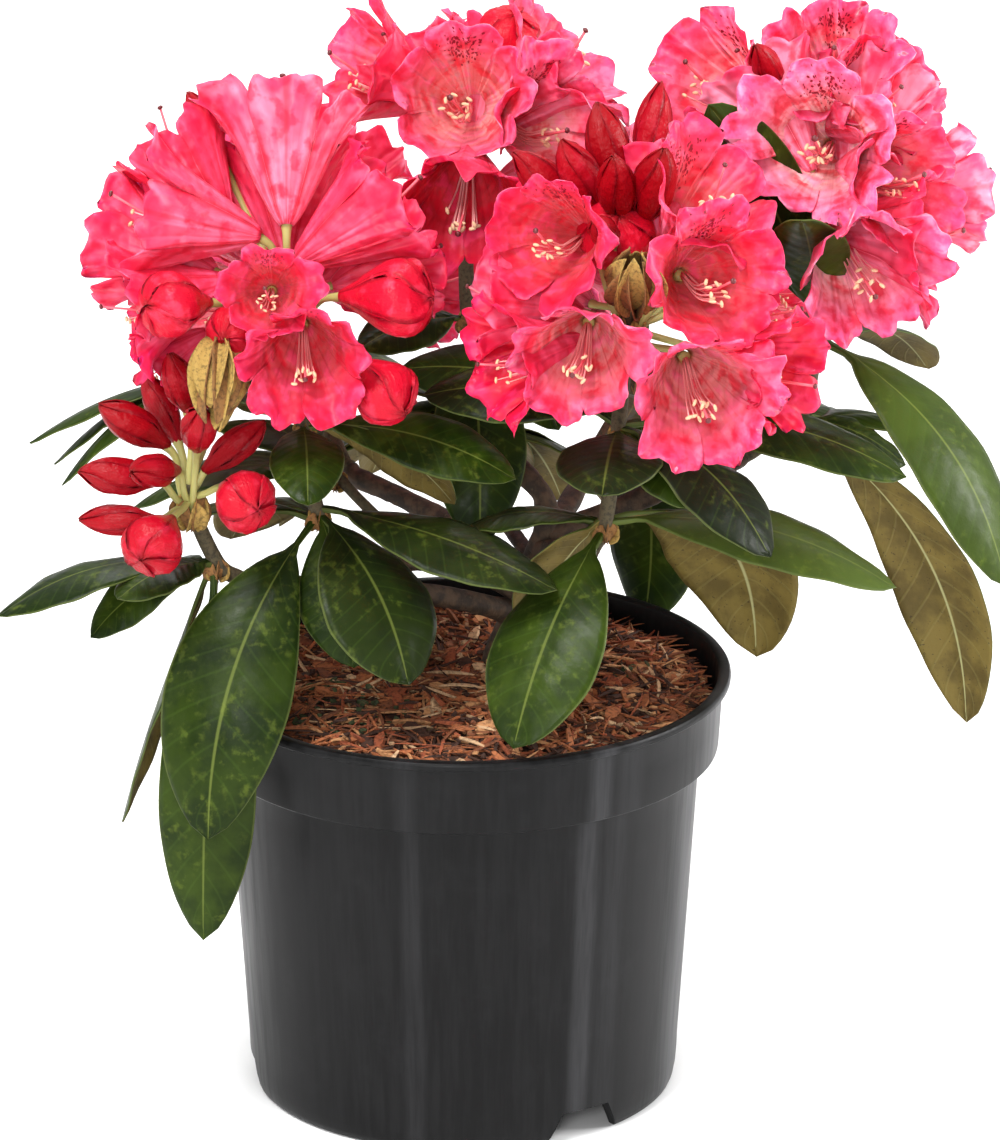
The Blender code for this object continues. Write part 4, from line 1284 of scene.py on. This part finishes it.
def petalPlaces(form, turn, share, layer):
    # where a point of the funnel lies, in the flower's own frame: its axis is +Z, its top lobe +Y;
    # v runs across a lobe from -1 to 1, u up the whole flower and t out along the lobe's free part
    lobe = np.floor(turn + 0.5)
    v = (turn - lobe) * 2
    lobe = lobe.astype(int) % 5
    wave, phase = form["wave"][lobe], form["phase"][:, lobe]
    middle = np.exp(-((v / 0.13) ** 2))
    sinus = form["sinus"]
    bow = np.sqrt(np.clip(1 - np.abs(v) ** form["round"], 0, 1))
    # round bumps with a nick between them, and the notch at the lobe's tip
    scallop = 0.09 * np.abs(np.cos(1.85 * math.pi * v + phase[0] / 2)) - 0.055
    scallop += 0.022 * np.abs(np.cos(3.6 * math.pi * v + phase[1])) - 0.013
    scallop -= 0.07 * middle
    scallop = 1 + form["frill"] * scallop
    reach = sinus + (form["long"][lobe] * scallop - sinus) * bow
    u = share * reach
    t = np.clip((u - sinus) / (1 - sinus), 0, 1.3)
    knots = np.linspace(0, 1, len(form["profile"]))
    radius = np.interp(u, knots, form["profile"][:, 0])
    height = np.interp(u, knots, form["profile"][:, 1])
    over = np.clip(u - 1, 0, 1)
    last = form["profile"][-1] - form["profile"][-2]
    radius = radius + over * last[0] * len(knots)
    height = height + over * last[1] * len(knots)
    slopeR = np.interp(u, knots, np.gradient(form["profile"][:, 0]))
    slopeZ = np.interp(u, knots, np.gradient(form["profile"][:, 1]))
    slope = np.hypot(slopeR, slopeZ)
    outR, outZ = slopeZ / slope, -slopeR / slope
    # broad waves, then finer ones towards the edge, crumples and the ridge of the midrib
    lift = wave * t**1.5 * np.sin(math.pi * form["waves"][lobe] * v + phase[1])
    lift += 0.55 * wave * t**1.2 * v**2 * np.sin(9.5 * t + phase[2] * np.sign(v))
    lift += 0.32 * wave * t**3 * np.sin(4.2 * math.pi * v + phase[2])
    crumple = np.sin(7 * v + 5 * u + phase[0]) * np.sin(14 * u + phase[1])
    lift += 0.4 * wave * t * crumple
    lift += 0.5 * middle * np.sin(math.pi * np.clip(u, 0, 1)) * (1 - 0.3 * t)
    lift += form["lap"] * v * np.clip(t * 3, 0, 1) + form["fold"][lobe] * v**2 * t * 2
    lift += layer * form["thick"]
    flare = form["flare"][lobe] * t**2
    radius = radius + outR * lift + flare
    height = height + outZ * lift - 0.5 * np.abs(flare)
    angle = math.tau / 5 * (lobe + v / 2 * (1 + form["widen"] * t)) + form["twist"] * t**2
    return np.stack([-radius * np.sin(angle), radius * np.cos(angle), height], axis=-1), u


def frameAlong(start, axis):
    turn = Vector(axis).to_track_quat("Z", "Y").to_matrix()
    return np.array(turn), vector(start)


def petalPart(funnel, form, start, faces, size, blush, flare, tile):
    places, u = petalPlaces(form, funnel["turn"], funnel["share"], funnel["layer"])
    turn, origin = frameAlong(start, faces)
    v = (funnel["turn"] - np.floor(funnel["turn"] + 0.5)) * 2
    # the dark flare in the throat of the top lobe, on heads that have one
    fromTop = np.abs(funnel["turn"]) if flare else 2.0
    blot = np.clip(1 - fromTop / 0.42, 0, 1) * np.clip(1 - np.abs(u - 0.3) / 0.25, 0, 1)
    return {
        "places": (places * size @ turn.T + origin) * mm,
        "faces": funnel["faces"],
        "finish": np.where(funnel["inside"], 0, 1),
        "across": v,
        "along": u,
        "blush": blush,
        "flare": blot * np.ones_like(u),
        "map": mapOnTiles(funnel["spot"], funnel["inside"], *tile),
    }


def placedPart(places, faces, finish, start, axis, size):
    turn, origin = frameAlong(start, axis)
    return {"places": (places * size @ turn.T + origin) * mm, "faces": faces, "finish": finish}


def stamenParts(rod, bead, start, faces, size, chance):
    # filaments with an anther each, and a longer style; they lean to the lower lobe, then turn up
    parts = []

    def add(places, shapeFaces, finish):
        parts.append(placedPart(places, shapeFaces, finish, start, faces, size))

    count = stamenShape["count"]
    for index in range(count):
        around = math.tau * (index + chance.uniform(-0.3, 0.3)) / count
        spread = chance.uniform(*stamenShape["spread"])
        x, y = spread * math.cos(around), -4.5 + 0.8 * spread * math.sin(around)
        tip = vector((x, y, chance.uniform(*stamenShape["length"])))
        low = vector((1.4 * math.cos(around), 1.4 * math.sin(around), 6))
        middle = (low + tip) / 2 + vector((0, -3.2, 0))
        add(bentPipe(rod, [low, middle, tip], stamenShape["radii"]), rod["faces"], 0)
        ahead = unit(tip - middle + vector((0, 6, 0)))
        turn, _ = frameAlong(tip, unit(np.cross(ahead, chance.normal(0, 1, 3))))
        add(bead[0] * stamenShape["anther"] @ turn.T + tip, bead[1], 1)
    tip = vector((chance.uniform(-2, 2), chance.uniform(-2, 5), stamenShape["styleLength"]))
    style = bentPipe(rod, [(0, -0.5, 6), (0.5, -4.5, 30), tip], stamenShape["styleRadii"])
    add(style, rod["faces"], 2)
    add(bead[0] * stamenShape["stigma"] + tip, bead[1], 3)
    return parts


def specklePart(form, start, faces, size, chance):
    # small flat dots laid on the inside of the top lobe, crowded towards the throat
    count = stamenShape["speckles"]
    v = np.clip(chance.normal(0, 0.27, count), -0.75, 0.75)
    u = np.clip(chance.normal(0.63, 0.1, count), 0.4, 0.87)
    bow = np.sqrt(np.clip(1 - np.abs(v) ** form["round"], 0, 1))
    reach = form["sinus"] + (form["long"][0] - form["sinus"]) * bow
    share = np.clip(u / reach, 0, 0.98)
    layer = np.full(count, -1.6)
    step = 0.01
    middle, _ = petalPlaces(form, v / 2, share, layer)
    ahead, _ = petalPlaces(form, v / 2, share + step, layer)
    beside, _ = petalPlaces(form, v / 2 + step, share, layer)
    ahead, beside = unit(ahead - middle), unit(beside - middle)
    radius = chance.uniform(*stamenShape["speckleRadii"], count)
    long = radius * chance.uniform(1.0, 1.7, count)
    fan = np.arange(6) / 6 * math.tau
    places = (
        middle[:, None]
        + ahead[:, None] * (long[:, None] * np.cos(fan))[:, :, None]
        + beside[:, None] * (radius[:, None] * np.sin(fan))[:, :, None]
    ).reshape(-1, 3)
    first = np.arange(count)[:, None] * 6
    quads = np.concatenate([first + (0, 1, 2, 3), first + (0, 3, 4, 5)])
    return placedPart(places, quads, 4, start, faces, size)


def modelBead():
    deselectAll()
    bpy.ops.mesh.primitive_uv_sphere_add(segments=6, ring_count=4, radius=1, location=(0, 0, 0))
    return readMaster(bpy.context.object)


def flowerBase(kind, mouth, faces, size):
    if kind == "open":
        return mouth - faces * flowerShape["length"] * size
    return mouth - faces * flowerShape["closed"][kind][0] * size / 2


def stalkPart(pipe, root, base, faces, size):
    # a pedicel that leaves the truss's axis and turns to follow its flower, with the calyx at its end
    end = base + faces * flowerShape["pedicelSink"]
    length = np.linalg.norm(end - root)
    outward = unit(end - root)
    points = [root, root + outward * 0.4 * length, end - faces * 0.28 * length, end]
    points[2] = (points[2] + root + outward * 0.72 * length) / 2
    calyx = 2.5 * max(size, 0.8)
    places = bentPipe(pipe, points, (*flowerShape["pedicelRadii"], calyx))
    return {"places": places * mm, "faces": pipe["faces"], "finish": 1}


def bractParts(blade, base, axis, kind, size, seed):
    # scales: narrow cupped blades in two turns round a bud or a stem
    chance = np.random.default_rng(seed)
    length, girth, count, spread = flowerShape["bracts"][kind]
    length, girth = length * size, girth * size
    width = girth * 0.9
    turn, _ = frameAlong(base, axis)

    def half(t):
        return width * np.sin(math.pi * np.clip(0.12 + 0.88 * t, 0, 1) ** 0.8) ** 0.75 + 0.15

    parts = []
    for index in range(count):
        around = 2.4 * index + chance.uniform(-0.2, 0.2)
        outward = turn @ vector((math.cos(around), math.sin(around), 0))
        inner = 0.45 + 0.55 * index / count
        tall = length * (1.08 - 0.3 * index / count) * chance.uniform(0.93, 1.05)
        root = base + outward * 0.25 * girth
        tip = base + vector(axis) * tall + outward * girth * (0.12 + spread * inner)
        crown = (root + tip) / 2 + outward * girth * 1.35 * inner
        side = -np.cross(outward, axis)
        places = bentBlade(blade, root, crown, tip, side, half, 0, 0.24, chance, 0.25)
        parts.append({"places": places * mm, "faces": blade["faces"], "finish": index % 2})
    return parts


# Which of the rule's hidden leaves and flowers the solids hold: those with a point on them

def solidOf(name):
    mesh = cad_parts[name].data
    places = [vert.co for vert in mesh.vertices]
    return BVHTree.FromPolygons(places, [face.vertices[:] for face in mesh.polygons])


def isHeld(solid, points):
    touching = 0.4 * mm
    for point in points:
        near = solid.find_nearest(Vector(point) * mm)
        if near[3] is not None and near[3] < touching:
            return True
    return False


def flowerIsHeld(solid, mouth, faces, size):
    turn, _ = frameAlong(mouth, faces)
    rim = [math.tau * k / 10 for k in range(10)]
    reach = flowerShape["radius"] * size
    points = [mouth + turn @ vector((math.sin(a), math.cos(a), 0)) * reach for a in rim]
    return isHeld(solid, points)


def hiddenFlowers(head, chance):
    hub = vector(head["hub"])
    count, first, last = head["hidden"]
    rises = flowerShape["hiddenRises"]
    stray, turnStray = flowerShape["riseStray"], flowerShape["turnStray"]
    for k in range(count):
        azimuth = first + (last - first) * (k + 0.5) / count
        rise = rises[k % len(rises)]
        outward = direction(azimuth, rise + chance.uniform(-stray, stray))
        faces = direction(azimuth + chance.uniform(-turnStray, turnStray), 0.85 * rise)
        root = hub + vector((0, 0, limbShape["rachis"] * ((k + 0.5) / count - 0.5)))
        size = chance.uniform(*flowerShape["hiddenSizes"])
        yield "open", root, hub + outward * flowerShape["hiddenReach"], faces, size


def shownFlowers(head):
    hub = vector(head["hub"])
    count = len(head["flowers"])
    for k, (kind, right, up, near, azimuth, elevation, size) in enumerate(head["flowers"]):
        root = hub + vector((0, 0, limbShape["rachis"] * (k / count - 0.5)))
        yield kind, root, hub + seen(right, up, near), direction(azimuth, elevation), size


def shownLeaves(head):
    for whorl in head["whorls"]:
        at = vector(whorl["at"])
        for k, (right, up, near, width, arch, roll) in enumerate(whorl["leaves"]):
            root = at + vector((0, 0, (k - 2) * leafShape["step"]))
            yield root, at + seen(right, up, near), width, arch, roll


def hiddenLeaves(head, chance):
    sway, droop, roll = leafShape["sway"], leafShape["droop"], leafShape["roll"]
    for whorl in head["whorls"]:
        at = vector(whorl["at"])
        count, first, last, fall = whorl["hidden"]
        for k in range(count):
            azimuth = first + (last - first) * (k + 0.5) / count + chance.uniform(-sway, sway)
            length = chance.uniform(*leafShape["hiddenLength"])
            tip = at + direction(azimuth, chance.uniform(-droop, droop) - fall) * length
            root = at + vector((0, 0, (k - 5) * leafShape["step"]))
            width = chance.uniform(*leafShape["hiddenWidth"])
            yield root, tip, width, leafShape["hiddenArch"], chance.uniform(-roll, roll)


# Flower finishes: how deep the pink is differs from head to head

# how far each head is from red towards pale pink, and whether its flowers have a dark flare
headPinks = {
    "left_head": (0.0, 0),
    "top_head": (0.75, 0),
    "front_head": (0.3, 0),
    "right_head": (0.88, 1),
    "bud_head": (0.1, 0),
    "back_left_head": (0.4, 0),
    "back_right_head": (0.7, 0),
}

# flowers with a pink of their own, by head and number
flowerPinks = {
    "left_head": {0: 0.4, 1: 0.18, 2: 0.0},
    "top_head": {1: 0.2, 2: 0.1, 5: 0.05},
    "front_head": {5: 0.0, 6: 0.05},
    "right_head": {2: 0.45, 4: 0.4, 5: 0.5, 6: 0.3},
}

# light through a thin petal
glow = {"Subsurface_Weight": 0.25, "Subsurface_Scale": 0.006, "Subsurface_Radius": (1.0, 0.22, 0.28)}


def lengthwise(paint, across, along, blush, lines):
    # a place to read noise at that is drawn out into lines up the petal
    inputs = {"X": paint.math("MULTIPLY", across, lines), "Y": along, "Z": blush}
    return paint.add("CombineXYZ", inputs).outputs[0]


def dressPetal(paint, shader, place, colour, veil):
    # the colour, and a skin that swells between its veins
    swell = paint.math("MULTIPLY", paint.noise(place, 120.0, 1.0), 8.0)
    height = paint.math("ADD", swell, paint.math("MULTIPLY", veil, 0.3))
    paint.feed(shader.inputs["Base Color"], colour)
    paint.feed(shader.inputs["Normal"], paint.bump(height, 0.7, 0.6))


petalInside, paint, shader = newMaterial("petalInside", Roughness=0.5, Specular_IOR_Level=0.3, **glow)
across, along, blush, flare = paint.attributes("across", "along", "blush", "flare")
place = paint.objectPlace()
rim = paint.mix(blush, (0.75, 0.004, 0.062), (0.91, 0.095, 0.27))
body = paint.mix(blush, (0.60, 0.002, 0.024), (0.92, 0.15, 0.28))
throat = paint.mix(blush, (0.56, 0.01, 0.028), (0.95, 0.56, 0.52))
colour = paint.mix(paint.spread(along, 0.3, 0.74), throat, body)
colour = paint.mix(paint.spread(along, 0.62, 0.95), colour, rim)
veil = paint.noise(lengthwise(paint, across, along, blush, 7.0), 1.0, 2.0, 0.5)
colour = paint.mix(paint.spread(veil, 0.5, 0.75, 0.0, 0.4), colour, (0.6, 0.003, 0.022))
# lighter and darker patches: partly the petal's own mottling, partly painted highlight and painted shade
cloud = paint.noise(place, 120.0, 3.0)
paleMottleAndHighlight = paint.mix(blush, (0.86, 0.028, 0.13), (0.97, 0.32, 0.49))
colour = paint.mix(paint.spread(cloud, 0.5, 0.66, 0.0, 0.7), colour, paleMottleAndHighlight)
colour = paint.mix(paint.spread(cloud, 0.34, 0.5, 0.75, 0.0), colour, (0.7, 0.005, 0.03))
deep = paint.spread(along, 0.03, 0.1, 1.0, 0.0)
colour = paint.mix(deep, colour, (0.4, 0.16, 0.07))
dressPetal(paint, shader, place, paint.mix(flare, colour, (0.45, 0.01, 0.025)), veil)

petalOutside, paint, shader = newMaterial("petalOutside", Roughness=0.48, Specular_IOR_Level=0.3, **glow)
across, along, blush = paint.attributes("across", "along", "blush")
place = paint.objectPlace()
pale = paint.mix(blush, (0.82, 0.05, 0.12), (0.92, 0.25, 0.38))
body = paint.mix(blush, (0.76, 0.009, 0.055), (0.88, 0.07, 0.19))
cloud = paint.noise(place, 105.0, 3.0)
colour = paint.mix(paint.spread(along, 0.35, 0.85), pale, body)
# paler patches: partly the petal's own mottling, partly painted highlight
paleMottleAndHighlight = paint.mix(blush, (0.89, 0.10, 0.21), (0.95, 0.36, 0.49))
sheet = paint.add(
    "CombineXYZ",
    {
        "X": paint.math("MULTIPLY", across, 1.5),
        "Y": paint.math("MULTIPLY", along, 3.2),
        "Z": paint.math("MULTIPLY", blush, 17.0),
    },
).outputs[0]
bold = paint.spread(paint.noise(sheet, 1.0, 2.5, 0.5), 0.44, 0.66, 0.0, 0.85)
colour = paint.mix(bold, colour, paleMottleAndHighlight)
# darker patches: partly mottling, partly painted shade
colour = paint.mix(paint.spread(cloud, 0.36, 0.5, 0.7, 0.0), colour, (0.76, 0.012, 0.055))
fromRib = paint.math("ABSOLUTE", across)
rib = paint.spread(fromRib, 0.015, 0.09, 1.0, 0.0)
colour = paint.mix(paint.math("MULTIPLY", rib, 0.4), colour, (0.6, 0.005, 0.022))
# painted shade: darker down the creases where the lobes meet, most towards the foot
creaseShade = paint.spread(along, 0.3, 0.85, 0.85, 0.1)
creaseShade = paint.math("MULTIPLY", paint.spread(fromRib, 0.65, 1.0), creaseShade)
colour = paint.mix(creaseShade, colour, (0.55, 0.004, 0.02))
veil = paint.noise(lengthwise(paint, across, along, blush, 7.0), 1.0, 2.0, 0.5)
colour = paint.mix(paint.spread(veil, 0.48, 0.75, 0.0, 0.2), colour, (0.64, 0.005, 0.03))
dressPetal(paint, shader, place, colour, veil)

budSkin, paint, shader = newMaterial("budSkin", Roughness=0.38, Specular_IOR_Level=0.16)
across, along, blush = paint.attributes("across", "along", "blush")
red = paint.mix(blush, (0.28, 0.001, 0.005), (0.62, 0.006, 0.028))
# painted shade: darker at the seams where the lobes lap over each other
seamShade = paint.spread(paint.math("ABSOLUTE", across), 0.55, 0.95)
red = paint.mix(paint.math("MULTIPLY", seamShade, 0.75), red, (0.2, 0.002, 0.008))
tip = paint.spread(along, 0.82, 1.0, 0.0, 0.5)
red = paint.mix(tip, red, (0.16, 0.012, 0.01))
cloud = paint.noise(paint.objectPlace(), 130.0, 3.0)
# pink patches on riper buds: partly mottling, partly painted sheen
mottleAndSheen = paint.math("MULTIPLY", blush, paint.spread(cloud, 0.5, 0.68, 0.0, 0.6))
paint.feed(shader.inputs["Base Color"], paint.mix(mottleAndSheen, red, (0.85, 0.05, 0.11)))
veil = paint.noise(lengthwise(paint, across, along, blush, 6.0), 1.5, 3.0)
height = paint.math("ADD", paint.math("MULTIPLY", cloud, 5.0), veil)
paint.feed(shader.inputs["Normal"], paint.bump(height, 0.6, 0.6))

stamenPaints = [
    plainMaterial("filamentPink", (0.85, 0.36, 0.36), 0.5),
    plainMaterial("antherCream", (0.72, 0.46, 0.28), 0.7),
    plainMaterial("stylePink", (0.80, 0.12, 0.16), 0.45),
    plainMaterial("stigmaDark", (0.12, 0.012, 0.015), 0.4),
    plainMaterial("speckleCrimson", (0.26, 0.002, 0.016), 0.5),
]
bractPaints = [
    grainyMaterial("bractOchre", (0.40, 0.25, 0.06)),
    grainyMaterial("bractBrown", (0.24, 0.11, 0.03)),
]
stalkPaints = [
    grainyMaterial("stemBrown", (0.08, 0.062, 0.03)),
    plainMaterial("stalkGreen", (0.42, 0.40, 0.13), 0.5, Subsurface_Weight=0.1, Subsurface_Scale=0.002),
]
print("finishes of leaves and flowers mixed")


# Growing the heads

blade = modelBlade(leafShape["columns"], leafShape["rows"])
smallBlade = modelBlade(6, 12)
lobeMarks = (0, 0.08, 0.17, 0.26, 0.35, 0.44, 0.53, 0.62, 0.71, 0.79, 0.86, 0.92, 0.97, 1)
openFunnel = modelFunnel(lobeMarks, 16)
closedFunnel = modelFunnel((0, 0.3, 0.6, 0.85, 1), 13)
stemPipe = modelPipe(14, 30)
stalkPipe = modelPipe(8, 14)
rodPipe = modelPipe(4, 7)
bead = modelBead()

# leaves that are darker than the rest, or lighter where it is below 0, by head and number
leafShades = {
    "front_head": {0: -0.12, 2: -0.4, 5: 0.8, 7: 1.0, 9: 0.7},
    "right_head": {2: -0.3, 3: -0.1, 4: -0.15},
    "bud_head": {3: -0.12},
    "left_head": {1: 0.6, 3: 0.55},
}

# for each kind of piece on a head: its slot, its materials and what they read
pieceKinds = {
    "leaves": ("foliage", [leafTop, leafUnder], ("across", "along", "shade")),
    "petals": ("blossom", [petalInside, petalOutside], ("across", "along", "blush", "flare")),
    "buds": ("blossom", [budSkin], ("across", "along", "blush")),
    "stamens": ("blossom", stamenPaints, ()),
    "bracts": ("foliage", bractPaints, ()),
    "stalks": ("foliage", stalkPaints, ()),
}


def growFlower(name, k, flower, tile, grown):
    # adds the k-th flower's parts to those grown so far
    kind, root, mouth, faces, size = flower
    own = np.random.default_rng([seeds[name], k])
    base = flowerBase(kind, mouth, faces, size)
    grown["stalks"].append(stalkPart(stalkPipe, root, base, faces, size))
    blush, flare = headPinks.get(name, (0.3, 0))
    tint = float(np.clip(blush + own.uniform(-0.3, 0.2), 0, 1))
    tint = flowerPinks.get(name, {}).get(k, tint)
    if kind == "husk":
        grown["bracts"] += bractParts(smallBlade, base, faces, "husk", size, k)
        return
    form = flowerForm(kind, own)
    if kind == "open":
        grown["petals"].append(petalPart(openFunnel, form, base, faces, size, tint, flare, tile))
        grown["stamens"] += stamenParts(rodPipe, bead, base, faces, size, own)
        grown["stamens"].append(specklePart(form, base, faces, size, own))
    else:
        ripe = own.uniform(0.55, 1) if kind == "half" else own.uniform(0, 0.25)
        ripe *= 0.6 if name == "bud_head" else 1
        part = petalPart(closedFunnel, form, base, faces, size, ripe, 0, tile)
        part["finish"] = 0
        grown["buds"].append(part)


def growStem(name, head, grown):
    bough = next(each for each in boughs.values() if each[0] == name)
    foot, along = jointLine(bough)
    marks = [foot, foot + along * limbShape["jointRun"]]
    marks += [vector(whorl["at"]) for whorl in head["whorls"]]
    top = vector((0, 0, 0.6 * limbShape["rachis"]))
    hub = vector(head["hub"])
    marks += [hub, hub + top]
    radii = np.linspace(*limbShape["stemRadii"], 8) * headGirth(name)
    relief = barkRelief(np.random.default_rng(seeds[name]), 3, 0.04)
    places = bentPipe(stemPipe, marks, radii, relief)
    grown["stalks"].append({"places": places * mm, "faces": stemPipe["faces"], "finish": 0})
    up = vector((0, 0, 1))
    if grown["petals"] or grown["buds"]:
        grown["bracts"] += bractParts(smallBlade, hub - top, up, "truss", 1, 90)
    for whorl in head["whorls"]:
        at = vector(whorl["at"]) - up * 8
        grown["bracts"] += bractParts(smallBlade, at, up, "whorl", 1, 91)


def growHead(name, head):
    # draws in the same order as the source of the solids, so that both grow the same head
    solid = solidOf(name)
    chance = random.Random(seeds[name])
    flowers = list(shownFlowers(head))
    flowers += [each for each in hiddenFlowers(head, chance) if flowerIsHeld(solid, *each[2:])]
    leaves = list(shownLeaves(head))
    leaves += [each for each in hiddenLeaves(head, chance) if isHeld(solid, [each[1]])]
    grown = {kind: [] for kind in pieceKinds}
    for k, flower in enumerate(flowers):
        growFlower(name, k, flower, tilePlace(k, len(flowers)), grown)
    for k, (root, tip, width, arch, roll) in enumerate(leaves):
        shade = float(np.random.default_rng([7, k]).uniform(0, 0.35))
        shade = leafShades.get(name, {}).get(k, shade)
        tile = tilePlace(k, len(leaves))
        seed = [seeds[name], 50 + k]
        grown["leaves"].append(leafPart(blade, root, tip, width, arch, roll, shade, tile, seed))
    growStem(name, head, grown)
    for kind, (slotName, paints, attributes) in pieceKinds.items():
        if grown[kind]:
            piece = joinedMesh(f"{name}_{kind}", grown[kind], attributes)
            finishPiece(piece, f"{name}_{kind}", slotName, [name], paints)
    print(name, "grown:", ", ".join(f"{len(parts)} {kind}" for kind, parts in grown.items()))


for name, head in heads.items():
    growHead(name, head)


# Floor, light and camera

studio = {
    "floor": 16,
    "world": 0.46,
    # name, place, what it points at, size, power
    "lamps": (
        ("skyLamp", (-0.7, -1.2, 2.4), (0, 0, 0.2), 1.0, 70),
        ("frontLamp", (-0.5, -4.6, 1.9), (0, 0, 0.25), 1.4, 95),
        ("leftLamp", (-1.9, -0.7, 0.8), (0, 0, 0.2), 0.9, 5),
        ("rightLamp", (1.9, 0.1, 0.9), (0, 0, 0.2), 0.9, 42),
        ("backLamp", (0.2, 2.4, 2.8), (0, 1.0, 0), 3.0, 100),
    ),
    "lens": 377.5,
    "sensor": 36,
    "distance": 5,
    "aim": (0.0155, 0, 0.2267),
}

deselectAll()
bpy.ops.mesh.primitive_plane_add(size=studio["floor"], location=(0, 0, 0))
floor = bpy.context.object
floor.name = "studio_floor"
floor.data.materials.append(plainMaterial("floorPaper", (0.93, 0.93, 0.93), 0.9))

world = bpy.data.worlds.new("softWhite")
world.use_nodes = True
world.node_tree.nodes["Background"].inputs["Color"].default_value = (1, 1, 1, 1)
world.node_tree.nodes["Background"].inputs["Strength"].default_value = studio["world"]
bpy.context.scene.world = world

for lampName, place, target, size, power in studio["lamps"]:
    bpy.ops.object.light_add(type="AREA", location=place)
    lamp = bpy.context.object
    lamp.name = lampName
    lamp.data.shape = "DISK"
    lamp.data.size = size
    lamp.data.energy = power
    lamp.rotation_euler = (Vector(target) - Vector(place)).to_track_quat("-Z", "Y").to_euler()

bpy.ops.object.camera_add()
camera = bpy.context.object
camera.name = "photoCamera"
toCamera = Vector((0, -math.cos(sight), math.sin(sight)))
camera.location = Vector(studio["aim"]) + toCamera * studio["distance"]
camera.rotation_euler = (math.pi / 2 - sight, 0, 0)
camera.data.lens = studio["lens"]
camera.data.sensor_width = studio["sensor"]
camera.data.clip_end = 10 * studio["distance"]
bpy.context.scene.camera = camera
bpy.context.scene.view_settings.view_transform = "Standard"
print("studio set")
